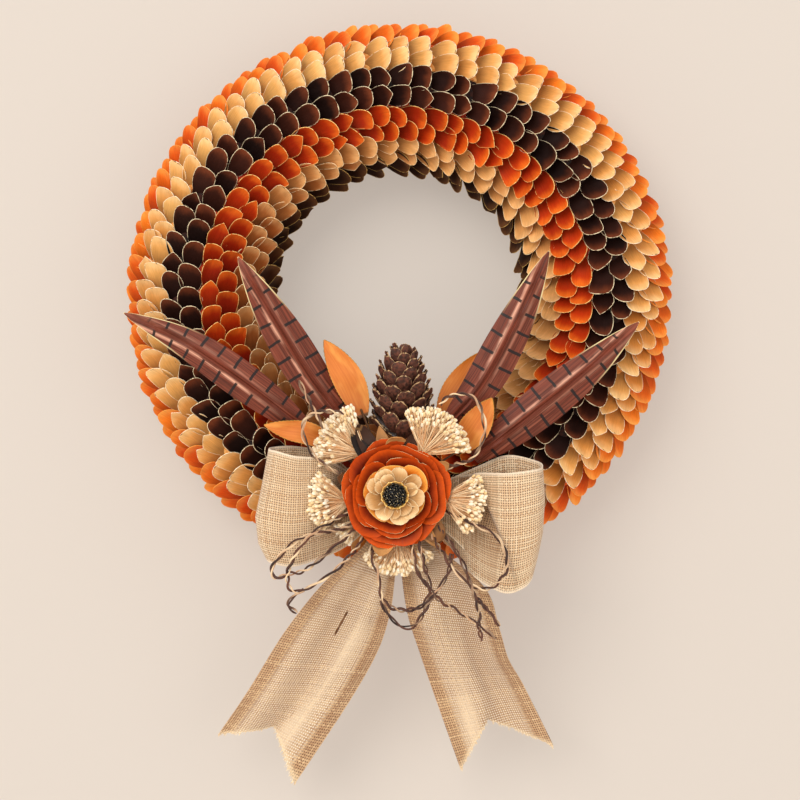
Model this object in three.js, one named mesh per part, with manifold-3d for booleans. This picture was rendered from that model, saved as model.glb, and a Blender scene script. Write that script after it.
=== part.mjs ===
// A wooden wreath that hangs on a wall: a straw ring covered with curled wood shavings in
// six bands of colour, with a burlap bow, feathers, veneer leaves, a pine cone, dried
// sprigs, curled vine stems and a flower of shavings on its lower front.
// Millimetres, +Z up, the front faces -Y. The wall is the plane y = 0, and the origin is
// on it, level with the point where a nail carries the hanging loop.
import * as THREE from 'three';
import { mergeVertices } from 'three/addons/utils/BufferGeometryUtils.js';
import Module from 'manifold-3d';

const wasm = await Module();
wasm.setup();

// Driving dimensions of the ring
const RING_RADIUS = 200;
const RING_CENTRE_Z = -250;
const CORE_RADIUS = 60;
const CORE_DEPTH = 50;
const PETAL_TOP = 80;
const SKIN_GAP = 0.5;
const SKIN_TOP = 3.5;
const GAP = 0.3;
const TURN_STEPS = 24;
const DEGREE = Math.PI / 180;
const FULL_TURN = 2 * Math.PI;
const TURN_STEP = FULL_TURN / TURN_STEPS;
const BACK_EDGE = Math.asin(CORE_DEPTH / CORE_RADIUS) / DEGREE;
const BACK_SHOULDER = 33;

// Shavings on the ring, in the core's own bands. Lift turns the ring's section from its
// outer side, 0, over the front, 90, to its inner side, 180.
const BANDS = [
  { name: 'orange', lift: [-5, 30], count: 48, sectors: 4 },
  { name: 'cream', lift: [30, 60], count: 48, sectors: 4 },
  { name: 'brown', lift: [60, 90], count: 44, sectors: 4 },
  { name: 'rust', lift: [90, 120], count: 40, sectors: 4 },
  { name: 'tan', lift: [120, 150], count: 30, sectors: 6 },
  { name: 'inner_brown', lift: [150, 185], count: 24, sectors: 6 },
];
const PETAL_PHASE = 0.6;
const PETAL_OVERLAP = 1.7;
const PETAL_THICKNESS = 1.4;
const PETAL_CUP = 6;
const PETAL_POINTS = 5;
const PETAL_ROOT_DEPTH = 2;
const BAND_MARGIN = 1.2 * DEGREE;

// The hanging loop of wire
const WIRE_RADIUS = 1.2;
const WIRE_ROOM = 0.4;
const WIRE_STEP = 5;
const LOOP_RADIUS = 10;
const LOOP_DEPTH = 5;
const LOOP_LEG_Z = 222;

// The knot that everything on the lower front is fastened to
const KNOT_RADIUS = 30;
const KNOT_FRONT = 152;
const KNOT_SIDES = 18;
const KNOT_CLEAR = 5;
const KNOT_EDGE = { face: 4, side: 5 };
const KNOT_BACK = CORE_DEPTH + CORE_RADIUS - 10;
const SKIN_ROOM = 0.4;

// Sheets and stems
const BURLAP_THICKNESS = 1.5;
const BLADE_THICKNESS = 1.2;
const SHAVING_THICKNESS = 1.2;
const SPOON_MIDDLE = 0.55;
const STEM_WIDTH = 2.4;
const TIP_WIDTH = 0.8;
const VINE_RADIUS = 1.5;
const VINE_STEP = 18;
const VINE_NEAR = 150;
const VINE_FAR = 184;
const BEAD_RADIUS = 2.2;
const STALK_RADIUS = 0.8;
const STALK_SKEW = new THREE.Vector3(0.3, 0.8, -0.5);

// Places as the eye sees them from the front: [across, down] in a square view 800 steps
// wide, in which the ring's widest outline has VIEW_STEP millimetres to a step.
const VIEW_STEP = 1.0275;
const VIEW_CENTRE = { across: 399.5, down: 400 };
const RING_CENTRE_DOWN = 296;
const EYE_DISTANCE = 3000;
const KNOT_SEEN = [395, 494];

// Colours, roughness and metalness
const FINISHES = {
  straw: { color: 0xb59a5e, roughness: 0.95, metalness: 0 },
  steel: { color: 0x9a9a98, roughness: 0.4, metalness: 0.9 },
  orange: { color: 0xeb6e23, roughness: 0.6, metalness: 0 },
  cream: { color: 0xf0c891, roughness: 0.65, metalness: 0 },
  brown: { color: 0x3c1e16, roughness: 0.6, metalness: 0 },
  rust: { color: 0xbe4114, roughness: 0.6, metalness: 0 },
  tan: { color: 0xd7a566, roughness: 0.65, metalness: 0 },
  inner_brown: { color: 0x3a1c15, roughness: 0.6, metalness: 0 },
  burlap: { color: 0xd7b991, roughness: 0.95, metalness: 0 },
  feather: { color: 0x7d483c, roughness: 0.35, metalness: 0.1 },
  veneer: { color: 0xeb9137, roughness: 0.55, metalness: 0 },
  cone: { color: 0x4b281e, roughness: 0.8, metalness: 0 },
  black: { color: 0x141214, roughness: 0.45, metalness: 0 },
  dry_leaf: { color: 0x8a5a2c, roughness: 0.8, metalness: 0 },
  sprig: { color: 0xd9c294, roughness: 0.85, metalness: 0 },
  vine: { color: 0x5a3824, roughness: 0.8, metalness: 0 },
};

// A repeatable run of numbers from 0 to 1
function seededRandom(seed) {
  let state = seed;
  return () => {
    state = (state + 0x6d2b79f5) | 0;
    let mixed = Math.imul(state ^ (state >>> 15), 1 | state);
    mixed = (mixed + Math.imul(mixed ^ (mixed >>> 7), 61 | mixed)) ^ mixed;
    return ((mixed ^ (mixed >>> 14)) >>> 0) / 4294967296;
  };
}

// The point that the eye sees at [across, down], at depth y, with z from the ring's centre
function seen([across, down], y) {
  const step = VIEW_STEP * (EYE_DISTANCE + y) / (EYE_DISTANCE - CORE_DEPTH);
  const eyeZ = (RING_CENTRE_DOWN - VIEW_CENTRE.down) * VIEW_STEP;
  return new THREE.Vector3(
    (across - VIEW_CENTRE.across) * step,
    y,
    eyeZ - (down - VIEW_CENTRE.down) * step,
  );
}

const KNOT_CENTRE = seen(KNOT_SEEN, -KNOT_FRONT);

// Solids from lists of points and triangles, turned so that their faces point out
function closedSolid(points, triangles) {
  let volume = 0;
  for (const [a, b, c] of triangles) {
    volume += points[a].dot(new THREE.Vector3().crossVectors(points[b], points[c]));
  }
  const flat = points.flatMap((point) => [point.x, point.y, point.z]);
  const corners = triangles.flatMap(([a, b, c]) => (volume < 0 ? [a, c, b] : [a, b, c]));
  return new wasm.Manifold(new wasm.Mesh({
    numProp: 3,
    vertProperties: new Float32Array(flat),
    triVerts: new Uint32Array(corners),
  }));
}

function solidOf(geometry) {
  geometry.deleteAttribute('normal');
  geometry.deleteAttribute('uv');
  const merged = mergeVertices(geometry, 1e-4);
  const position = merged.getAttribute('position');
  const index = merged.getIndex().array;
  const points = [];
  for (let i = 0; i < position.count; i++) {
    points.push(new THREE.Vector3().fromBufferAttribute(position, i));
  }
  const triangles = [];
  for (let i = 0; i < index.length; i += 3) {
    const [a, b, c] = [index[i], index[i + 1], index[i + 2]];
    if (a !== b && b !== c && c !== a) triangles.push([a, b, c]);
  }
  return closedSolid(points, triangles);
}

function fused(solids) {
  return solids.reduce((whole, solid) => whole.add(solid));
}

function geometryOf(solid) {
  const { vertProperties, triVerts } = solid.getMesh();
  const geometry = new THREE.BufferGeometry();
  geometry.setAttribute('position', new THREE.BufferAttribute(vertProperties, 3));
  geometry.setIndex(new THREE.BufferAttribute(triVerts, 1));
  geometry.computeVertexNormals();
  return geometry;
}

// Points of the ring. Turn runs anticlockwise from +X as seen from the front, and reach is
// the distance from the middle of the ring's section.
function ringPoint(turn, lift, reach) {
  const radius = RING_RADIUS + reach * Math.cos(lift);
  return new THREE.Vector3(
    radius * Math.cos(turn),
    -CORE_DEPTH - reach * Math.sin(lift),
    radius * Math.sin(turn),
  );
}

// The same, on the flats between the core's edges
function flatRingPoint(turn, lift, reach, [low, high]) {
  const first = Math.floor(turn / TURN_STEP) * TURN_STEP;
  const along = (turn - first) / TURN_STEP;
  const across = (lift - low) / (high - low);
  const near = ringPoint(first, low, reach).lerp(ringPoint(first, high, reach), across);
  const far = ringPoint(first + TURN_STEP, low, reach)
    .lerp(ringPoint(first + TURN_STEP, high, reach), across);
  return near.lerp(far, along);
}

// The ring's section as a closed profile, flat where it meets the wall
function ringProfile(reach) {
  const lifts = [-BACK_EDGE, -BACK_SHOULDER, ...BANDS.map((band) => band.lift[0])];
  lifts.push(BANDS.at(-1).lift[1], 180 + BACK_SHOULDER, 180 + BACK_EDGE);
  const profile = lifts.map((lift) => new THREE.Vector2(
    RING_RADIUS + reach * Math.cos(lift * DEGREE),
    -CORE_DEPTH - reach * Math.sin(lift * DEGREE),
  ));
  profile.push(profile[0].clone());
  return profile;
}

function ringSolid(reach) {
  return solidOf(new THREE.LatheGeometry(ringProfile(reach), TURN_STEPS));
}

// A spoon-shaped outline of [along, side, height] round a middle point, its edges raised
function spoon({ length, width, rise, cup, points, root = 0, blunt = 0.8 }) {
  const outline = [];
  for (let i = 0; i < points; i++) {
    const angle = i * FULL_TURN / points;
    const share = ((1 - Math.cos(angle)) / 2) ** blunt;
    const side = width / 2 * Math.sin(angle);
    const edge = cup * (2 * side / width) ** 2;
    outline.push([share * length, side, rise * share + edge - (i === 0 ? root : 0)]);
  }
  return { outline, middle: [SPOON_MIDDLE * length, 0, SPOON_MIDDLE * rise] };
}

// A thin blade over such an outline, which starts at its root, where it ends in a point.
// place turns [along, side, height] into a point of the ring, flower or cone.
function fanBlade({ outline, middle }, thickness, place) {
  const count = outline.length;
  const points = [place(...outline[0]), place(...middle.with(2, middle[2] + thickness / 2))];
  points.push(place(...middle.with(2, middle[2] - thickness / 2)));
  for (const [along, side, height] of outline.slice(1)) {
    points.push(place(along, side, height + thickness / 2));
    points.push(place(along, side, height - thickness / 2));
  }
  const over = (i) => (i % count === 0 ? 0 : 2 * (i % count) + 1);
  const under = (i) => (i % count === 0 ? 0 : 2 * (i % count) + 2);
  const triangles = [];
  for (let i = 0; i < count; i++) {
    triangles.push([over(i), over(i + 1), 1], [under(i + 1), under(i), 2]);
    if (i > 0) triangles.push([over(i + 1), over(i), under(i)]);
    if (i < count - 1) triangles.push([over(i + 1), under(i), under(i + 1)]);
  }
  return closedSolid(points, triangles);
}

// A sheet of even thickness through a grid of points, rows along it and columns across it
function sheetSolid(grid, thickness) {
  const rows = grid.length;
  const columns = grid[0].length;
  const top = [];
  const bottom = [];
  for (let row = 0; row < rows; row++) {
    for (let column = 0; column < columns; column++) {
      const along = grid[Math.min(row + 1, rows - 1)][column].clone()
        .sub(grid[Math.max(row - 1, 0)][column]);
      const across = grid[row][Math.min(column + 1, columns - 1)].clone()
        .sub(grid[row][Math.max(column - 1, 0)]);
      const normal = along.cross(across).normalize().multiplyScalar(thickness / 2);
      top.push(grid[row][column].clone().add(normal));
      bottom.push(grid[row][column].clone().sub(normal));
    }
  }
  const at = (row, column) => row * columns + column;
  const under = top.length;
  const triangles = [];
  for (let row = 0; row < rows - 1; row++) {
    for (let column = 0; column < columns - 1; column++) {
      const corners = [at(row, column), at(row + 1, column),
        at(row + 1, column + 1), at(row, column + 1)];
      for (const [a, b, c] of [[0, 1, 2], [0, 2, 3]]) {
        triangles.push([corners[a], corners[b], corners[c]]);
        triangles.push([corners[c] + under, corners[b] + under, corners[a] + under]);
      }
    }
  }
  const rim = [];
  for (let row = 0; row < rows - 1; row++) rim.push(at(row, 0));
  for (let column = 0; column < columns - 1; column++) rim.push(at(rows - 1, column));
  for (let row = rows - 1; row > 0; row--) rim.push(at(row, columns - 1));
  for (let column = columns - 1; column > 0; column--) rim.push(at(0, column));
  rim.forEach((a, i) => {
    const b = rim[(i + 1) % rim.length];
    triangles.push([b, a, a + under], [b, a + under, b + under]);
  });
  return closedSolid([...top, ...bottom], triangles);
}

// A round wire or stem along a path, and a straight tapered one
function tubeSolid(path, radius, sides, steps) {
  const section = new THREE.Shape();
  for (let i = 0; i < sides; i++) {
    const angle = i * FULL_TURN / sides;
    const corner = [radius * Math.cos(angle), radius * Math.sin(angle)];
    if (i === 0) section.moveTo(...corner);
    else section.lineTo(...corner);
  }
  section.closePath();
  return solidOf(new THREE.ExtrudeGeometry(section, { steps, extrudePath: path }));
}

function smoothTube(points, radius, sides, step) {
  const path = new THREE.CatmullRomCurve3(points, false, 'centripetal');
  return tubeSolid(path, radius, sides, Math.round(path.getLength() / step));
}

// A three-sided stalk from a point, with a bead at its end
function stalkSolid(from, to, rings) {
  const axis = to.clone().sub(from);
  const side = STALK_SKEW.clone().cross(axis).normalize();
  const other = axis.clone().cross(side).normalize();
  const points = [from.clone(), to.clone()];
  const triangles = [];
  rings.forEach(([share, radius], ring) => {
    const first = points.length;
    for (let i = 0; i < 3; i++) {
      const angle = i * FULL_TURN / 3;
      points.push(from.clone().addScaledVector(axis, share)
        .addScaledVector(side, radius * Math.cos(angle))
        .addScaledVector(other, radius * Math.sin(angle)));
      const [a, b] = [first + i, first + (i + 1) % 3];
      if (ring === 0) triangles.push([0, b, a]);
      else triangles.push([b - 3, a, a - 3], [b - 3, b, a]);
      if (ring === rings.length - 1) triangles.push([1, a, b]);
    }
  });
  return closedSolid(points, triangles);
}

// The parts and their meshes
const materials = Object.fromEntries(
  Object.entries(FINISHES).map(([name, look]) => [name, new THREE.MeshStandardMaterial(look)]),
);
const wreath = new THREE.Group();
wreath.position.z = RING_CENTRE_Z;

function addPart(name, finish, solid) {
  const mesh = new THREE.Mesh(geometryOf(solid), materials[finish]);
  mesh.name = name;
  wreath.add(mesh);
}

// The knot: a gathered wad of burlap that reaches through the shavings to the ring's skin
function knotSolid(grow) {
  const front = KNOT_FRONT + grow;
  const radius = KNOT_RADIUS + grow;
  const profile = [
    [0, -front], [radius - KNOT_EDGE.face, -front], [radius, -front + KNOT_EDGE.side],
    [radius, -KNOT_BACK], [0, -KNOT_BACK],
  ].map(([x, y]) => new THREE.Vector2(x, y));
  const wad = solidOf(new THREE.LatheGeometry(profile, KNOT_SIDES))
    .translate([KNOT_CENTRE.x, 0, KNOT_CENTRE.z]);
  return wad.subtract(ringSolid(CORE_RADIUS + SKIN_TOP + SKIN_ROOM - grow));
}

const knot = knotSolid(0);
const knotRoom = knotSolid(GAP);

function seated(solid) {
  return solid.subtract(knotRoom);
}

// Where a stem enters the knot: at a clock angle in degrees, anticlockwise from +X
function knotEntry(angle, y, radius = KNOT_RADIUS - 5) {
  return new THREE.Vector3(
    KNOT_CENTRE.x + radius * Math.cos(angle * DEGREE),
    y,
    KNOT_CENTRE.z + radius * Math.sin(angle * DEGREE),
  );
}

// The ring of straw and its hanging loop
function hangingLoopPath() {
  const top = -RING_CENTRE_Z - LOOP_RADIUS + WIRE_RADIUS;
  const points = [new THREE.Vector3(-LOOP_RADIUS, -LOOP_DEPTH, LOOP_LEG_Z)];
  points.push(new THREE.Vector3(-LOOP_RADIUS, -LOOP_DEPTH, (LOOP_LEG_Z + top) / 2));
  for (let angle = 180; angle >= 0; angle -= 30) {
    points.push(new THREE.Vector3(
      LOOP_RADIUS * Math.cos(angle * DEGREE),
      -LOOP_DEPTH,
      top + LOOP_RADIUS * Math.sin(angle * DEGREE),
    ));
  }
  points.push(new THREE.Vector3(LOOP_RADIUS, -LOOP_DEPTH, (LOOP_LEG_Z + top) / 2));
  points.push(new THREE.Vector3(LOOP_RADIUS, -LOOP_DEPTH, LOOP_LEG_Z));
  return points;
}

const loopPath = hangingLoopPath();
const loopRoomPath = loopPath.map((point) => point.clone());
for (const end of [loopRoomPath[0], loopRoomPath.at(-1)]) end.z -= 2;
const loopRoom = smoothTube(loopRoomPath, WIRE_RADIUS + WIRE_ROOM, 6, WIRE_STEP);
addPart('ring_core', 'straw', ringSolid(CORE_RADIUS).subtract(loopRoom));
addPart('hanging_loop', 'steel', smoothTube(loopPath, WIRE_RADIUS, 6, WIRE_STEP));

// One sector of a band's skin, the thin backing that its shavings are rooted in
function skinSector(start, end, [low, high]) {
  const points = [];
  const turnGap = SKIN_GAP / RING_RADIUS;
  const liftGap = SKIN_GAP / CORE_RADIUS;
  const steps = Math.round((end - start) / TURN_STEP);
  for (let i = 0; i <= steps; i++) {
    let turn = start + i * TURN_STEP;
    if (i === 0) turn += turnGap;
    if (i === steps) turn -= turnGap;
    for (const reach of [CORE_RADIUS + SKIN_GAP, CORE_RADIUS + SKIN_TOP]) {
      points.push(flatRingPoint(turn, low + liftGap, reach, [low, high]));
      points.push(flatRingPoint(turn, high - liftGap, reach, [low, high]));
    }
  }
  const around = [[0, 1], [1, 3], [3, 2], [2, 0]];
  const triangles = [[0, 1, 3], [0, 3, 2]];
  for (let i = 0; i < steps; i++) {
    for (const [a, b] of around) {
      const [here, next] = [4 * i, 4 * i + 4];
      triangles.push([here + b, here + a, next + a], [here + b, next + a, next + b]);
    }
  }
  const last = 4 * steps;
  triangles.push([last, last + 3, last + 1], [last, last + 2, last + 3]);
  return closedSolid(points, triangles);
}

// One shaving: rooted in the skin, its tip a step further clockwise and off the surface
function ringPetal(turn, lift, halfWidth, length, rise, limits) {
  const radius = RING_RADIUS + (CORE_RADIUS + SKIN_TOP) * Math.cos(lift);
  const reach = CORE_RADIUS + SKIN_TOP;
  const form = spoon({
    length,
    width: 2 * halfWidth,
    rise,
    cup: PETAL_CUP,
    points: PETAL_POINTS,
    root: PETAL_ROOT_DEPTH,
  });
  const points = [];
  const place = (along, side, height) => {
    const point = along === 0
      ? flatRingPoint(turn, lift, reach + height, limits)
      : ringPoint(turn - along / radius, lift + side, reach + height);
    points.push(point);
    return point;
  };
  return { solid: fanBlade(form, PETAL_THICKNESS, place), points };
}

function meetsKnot(points) {
  return points.some((point) => point.y < -CORE_DEPTH
    && Math.hypot(point.x - KNOT_CENTRE.x, point.z - KNOT_CENTRE.z) < KNOT_RADIUS + KNOT_CLEAR);
}

function bandSector(band, sector, random) {
  const limits = band.lift.map((lift) => lift * DEGREE);
  const start = sector * FULL_TURN / band.sectors;
  const end = start + FULL_TURN / band.sectors;
  const perSector = band.count / band.sectors;
  const pitch = (end - start) / perSector;
  const middle = (limits[0] + limits[1]) / 2;
  const radius = RING_RADIUS + (CORE_RADIUS + SKIN_TOP) * Math.cos(middle);
  const length = PETAL_OVERLAP * pitch * radius;
  const halfWidth = (limits[1] - limits[0]) / 2 - BAND_MARGIN;
  const solids = [skinSector(start, end, limits)];
  for (let i = 0; i < perSector; i++) {
    const turn = start + (i + PETAL_PHASE + 0.1 * (random() - 0.5)) * pitch;
    const rise = PETAL_TOP - CORE_RADIUS - SKIN_TOP - PETAL_CUP / 3 - 2 * random();
    const petal = ringPetal(turn, middle, halfWidth, length, rise, limits);
    if (!meetsKnot(petal.points)) solids.push(petal.solid);
  }
  return fused(solids);
}

const petalRandom = seededRandom(11);
for (const band of BANDS) {
  for (let sector = 0; sector < band.sectors; sector++) {
    addPart(`${band.name}_petals_${sector + 1}`, band.name, bandSector(band, sector, petalRandom));
  }
}

// The bow: two loops and two tails of one burlap ribbon, gathered at the knot
addPart('bow_knot', 'burlap', knot);

// A loop's stations run from the knot along its front wall and back along its back wall:
// [across, depth, top, bottom]
const LEFT_LOOP = [
  [376, 138, 488, 507], [352, 143, 474, 528], [325, 157, 459, 549], [292, 171, 456, 562],
  [267, 168, 451, 565], [256, 155, 449, 560], [262, 141, 447, 556], [290, 134.5, 446, 552],
  [325, 133, 452, 543], [352, 133, 472, 525], [376, 133, 488, 507],
];
const RIGHT_LOOP = [
  [414, 138, 490, 507], [448, 145, 480, 545], [475, 158, 473, 578], [507, 173, 473, 594],
  [532, 170, 470, 588], [542, 157, 467, 575], [537, 143, 461, 570], [507, 135, 455, 572],
  [478, 133, 466, 562], [448, 133, 479, 534], [414, 133, 490, 507],
];

function bowLoop(stations) {
  const grid = stations.map(([across, depth, top, bottom]) => {
    const upper = seen([across, top], -depth);
    const lower = seen([across, bottom], -depth);
    return [upper, upper.clone().lerp(lower, 0.5), lower];
  });
  return seated(sheetSolid(grid, BURLAP_THICKNESS));
}

addPart('bow_loop_left', 'burlap', bowLoop(LEFT_LOOP));
addPart('bow_loop_right', 'burlap', bowLoop(RIGHT_LOOP));

// A tail's stations run from the knot down: its left edge, its right edge and its depth.
// The last one is the cut end, with its notch between the two points.
const LEFT_TAIL = {
  rows: [
    [[380, 512], [396, 516], 138], [[366, 543], [396, 560], 140], [[342, 566], [394, 584], 136],
    [[316, 592], [390, 612], 128], [[283, 635], [378, 650], 112], [[250, 688], [350, 700], 94],
    [[218, 735], [295, 783], 78],
  ],
  notch: [274, 727],
};
const RIGHT_TAIL = {
  rows: [
    [[398, 514], [412, 512], 136], [[400, 550], [440, 548], 138], [[402, 577], [485, 588], 134],
    [[408, 616], [499, 628], 125], [[420, 654], [508, 658], 111], [[436, 700], [524, 686], 95],
    [[461, 770], [553, 745], 79],
  ],
  notch: [488, 719],
};
const TAIL_FOLDS = [0, 4, -3, 3, 0];

function bowTail({ rows, notch }) {
  const grid = rows.map(([left, right, depth], row) => {
    const start = seen(left, -depth);
    const end = seen(right, -depth);
    const opened = Math.min(1, row / 3);
    return TAIL_FOLDS.map((fold, column) => {
      const point = start.clone().lerp(end, column / (TAIL_FOLDS.length - 1));
      point.y += fold * opened;
      return point;
    });
  });
  const cut = grid.at(-1);
  const dip = seen(notch, -rows.at(-1)[2]);
  const middle = (TAIL_FOLDS.length - 1) / 2;
  for (let column = 1; column < cut.length - 1; column++) {
    const share = 1 - Math.abs(column - middle) / middle;
    const corner = column <= middle ? cut[0] : cut.at(-1);
    const y = cut[column].y;
    cut[column] = corner.clone().lerp(dip, share);
    cut[column].y = y;
  }
  return seated(sheetSolid(grid, BURLAP_THICKNESS));
}

addPart('bow_tail_left', 'burlap', bowTail(LEFT_TAIL));
addPart('bow_tail_right', 'burlap', bowTail(RIGHT_TAIL));

// Feathers and veneer leaves: long blades with a raised rib, on a stem from the knot.
// route gives [place, depth] from the foot of the blade to its tip, entry the clock angle
// and depth at which the stem enters the knot.
const FEATHERS = [
  {
    name: 'feather_left_low', width: 36, entry: [146, 134],
    route: [[[310, 432], 137], [[255, 390], 146], [[190, 345], 142], [[124, 313], 128]],
  },
  {
    name: 'feather_left_high', width: 40, entry: [122, 134],
    route: [[[348, 425], 137], [[311, 378], 146], [[272, 315], 150], [[238, 257], 152]],
  },
  {
    name: 'feather_right_high', width: 38, entry: [52, 134],
    route: [[[446, 426], 137], [[482, 384], 146], [[518, 318], 150], [[549, 251], 152]],
  },
  {
    name: 'feather_right_low', width: 40, entry: [24, 134],
    route: [[[474, 458], 138], [[530, 415], 146], [[588, 368], 146], [[639, 322], 134]],
  },
];
const VENEER_LEAVES = [
  {
    name: 'veneer_leaf_1', width: 29, entry: [112, 142],
    route: [[[364, 417], 148], [[351, 385], 155], [[338, 362], 158], [[324, 340], 160]],
  },
  {
    name: 'veneer_leaf_2', width: 21, entry: [154, 143],
    route: [[[336, 446], 147], [[310, 434], 153], [[288, 430], 156], [[264, 425], 158]],
  },
  {
    name: 'veneer_leaf_3', width: 26, entry: [64, 133],
    route: [[[440, 421], 131.5], [[453, 395], 132], [[467, 373], 133], [[481, 352], 134]],
  },
  {
    name: 'veneer_leaf_4', width: 29, entry: [37, 141],
    route: [[[456, 452], 148], [[470, 434], 155], [[482, 416], 158], [[492, 398], 160]],
  },
];

function bladeWidth(share, width, foot) {
  const body = Math.sin(Math.PI * Math.min(1, share * 0.94 + 0.06)) ** 0.75;
  return Math.max(foot, width * body);
}

function stemmedBlade({ route, width, entry }, { rows, teeth, rib }) {
  const [angle, depth] = entry;
  const blade = new THREE.CatmullRomCurve3(
    route.map(([place, y]) => seen(place, -y)), false, 'centripetal',
  );
  const foot = blade.getPoint(0);
  const inner = knotEntry(angle, -depth);
  const grid = [];
  for (const share of [0, 0.45]) {
    const point = inner.clone().lerp(foot, share);
    grid.push(bladeRow(point, foot.clone().sub(inner), STEM_WIDTH, 0));
  }
  for (let row = 0; row <= rows; row++) {
    const share = row / rows;
    const tooth = row % 2 === 1 ? 1 : 1 - teeth;
    const least = row === rows ? TIP_WIDTH : STEM_WIDTH;
    const across = bladeWidth(share, width, least) * tooth;
    grid.push(bladeRow(blade.getPointAt(share), blade.getTangentAt(share), across, rib));
  }
  return seated(sheetSolid(grid, BLADE_THICKNESS));
}

function bladeRow(point, along, width, rib) {
  const across = new THREE.Vector3(0, 1, 0).cross(along).normalize();
  const raised = point.clone();
  raised.y -= rib * Math.min(1, width / 20);
  return [
    point.clone().addScaledVector(across, -width / 2),
    raised,
    point.clone().addScaledVector(across, width / 2),
  ];
}

for (const feather of FEATHERS) {
  addPart(feather.name, 'feather', stemmedBlade(feather, { rows: 9, teeth: 0, rib: 3 }));
}
for (const leaf of VENEER_LEAVES) {
  addPart(leaf.name, 'veneer', stemmedBlade(leaf, { rows: 8, teeth: 0.1, rib: 1.5 }));
}

// The pine cone: a core with scales set round it by the golden angle, on a short stalk
const CONE_FOOT = seen([402, 430], -140);
const CONE_HEIGHT = 84;
const CONE_RADIUS = 33;
const CONE_SCALES = 29;
const CONE_SCALE = { width: 20, thickness: 2.2, rise: 1, cup: -2 };
const CONE_STALK = { radius: 3.5, entry: [84, 147], reach: 10 };
const GOLDEN_ANGLE = 137.508 * DEGREE;

function coneRadius(share) {
  return CONE_RADIUS * Math.sin(Math.PI * (0.36 + 0.62 * share));
}

function pineCone() {
  const profile = [[0, 0]];
  for (const share of [0.04, 0.45, 0.93]) {
    profile.push([0.5 * coneRadius(share), share * CONE_HEIGHT]);
  }
  profile.push([0, CONE_HEIGHT]);
  const core = solidOf(new THREE.LatheGeometry(
    profile.map(([x, y]) => new THREE.Vector2(x, y)), 8,
  )).rotate([90, 0, 0]).translate([CONE_FOOT.x, CONE_FOOT.y, CONE_FOOT.z]);
  const solids = [core];
  for (let i = 0; i < CONE_SCALES; i++) {
    const share = 0.02 + 0.9 * (i / (CONE_SCALES - 1)) ** 1.1;
    const angle = i * GOLDEN_ANGLE;
    const reach = coneRadius(share);
    const size = 0.45 + 0.55 * reach / CONE_RADIUS;
    const outward = new THREE.Vector3(Math.cos(angle), Math.sin(angle), 0);
    const sideways = new THREE.Vector3(-Math.sin(angle), Math.cos(angle), 0);
    const upward = new THREE.Vector3(0, 0, 1);
    const tilt = (10 + 55 * share) * DEGREE;
    const start = CONE_FOOT.clone().addScaledVector(upward, share * CONE_HEIGHT)
      .addScaledVector(outward, 0.2 * reach);
    const place = (along, side, height) => start.clone()
      .addScaledVector(outward, along * Math.cos(tilt) - height * Math.sin(tilt))
      .addScaledVector(upward, along * Math.sin(tilt) + height * Math.cos(tilt))
      .addScaledVector(sideways, side);
    const form = spoon({
      length: 0.8 * reach + 2,
      width: CONE_SCALE.width * size,
      rise: CONE_SCALE.rise,
      cup: CONE_SCALE.cup,
      points: 5,
      blunt: 0.55,
    });
    solids.push(fanBlade(form, CONE_SCALE.thickness * size, place));
  }
  const [entryAngle, entryDepth] = CONE_STALK.entry;
  const stalk = smoothTube([
    knotEntry(entryAngle, -entryDepth),
    CONE_FOOT.clone().setZ(CONE_FOOT.z - CONE_STALK.reach),
    CONE_FOOT.clone().setZ(CONE_FOOT.z + CONE_STALK.reach),
  ], CONE_STALK.radius, 6, 12);
  return seated(fused([...solids, stalk]));
}

addPart('pine_cone', 'cone', pineCone());

// The flower: a collar of dry leaves, then rust, orange and cream shavings in their
// layers, and a beaded centre. Each layer has a boss that the next one sits on.
const FLOWER_SIDES = 8;
const FLOWER_START = 5;
const BOSS_RADII = { collar: 16, rust: 13, orange: 11, cream: 10 };
const COLLAR_LEAVES = [
  { angle: 88, reach: 61, width: 22 },
  { angle: 164, reach: 60, width: 17 },
  { angle: 257, reach: 60, width: 19 },
  { angle: 309, reach: 59, width: 19 },
  { angle: 31, reach: 60, width: 16 },
];
const RUST_LAYERS = [
  { count: 6, reach: 52, width: 52, rise: 10, base: 2.5, start: 10 },
  { count: 5, reach: 46, width: 46, rise: 13, base: 4, start: 35 },
  { count: 5, reach: 38, width: 36, rise: 15, base: 5.5, start: 0 },
];
const ORANGE_LAYERS = [{ count: 8, reach: 31, width: 24, rise: 4, base: 2, start: 12 }];
const CREAM_LAYERS = [{ count: 8, reach: 27.5, width: 17, rise: 3.5, base: 2.5, start: 0 }];

function flowerBoss(radius, back, front) {
  const profile = [[0, -front], [radius, -front], [radius, -back], [0, -back]];
  return solidOf(new THREE.LatheGeometry(
    profile.map(([x, y]) => new THREE.Vector2(x, y)), FLOWER_SIDES,
  )).translate([KNOT_CENTRE.x, 0, KNOT_CENTRE.z]);
}

// One shaving of the flower at a clock angle, its sides turned a little so that each lies
// over its neighbour
function flowerPetal(angle, back, { reach, width, rise, base, cup = 3 }, twist, thickness) {
  const outward = new THREE.Vector3(Math.cos(angle), 0, Math.sin(angle));
  const sideways = new THREE.Vector3(-Math.sin(angle), 0, Math.cos(angle));
  const place = (along, side, height) => KNOT_CENTRE.clone()
    .setY(-back - base - height - twist * side)
    .addScaledVector(outward, FLOWER_START + along)
    .addScaledVector(sideways, side);
  const form = spoon({
    length: reach - FLOWER_START, width, rise, cup, points: 6, blunt: 0.62,
  });
  return fanBlade(form, thickness, place);
}

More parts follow.
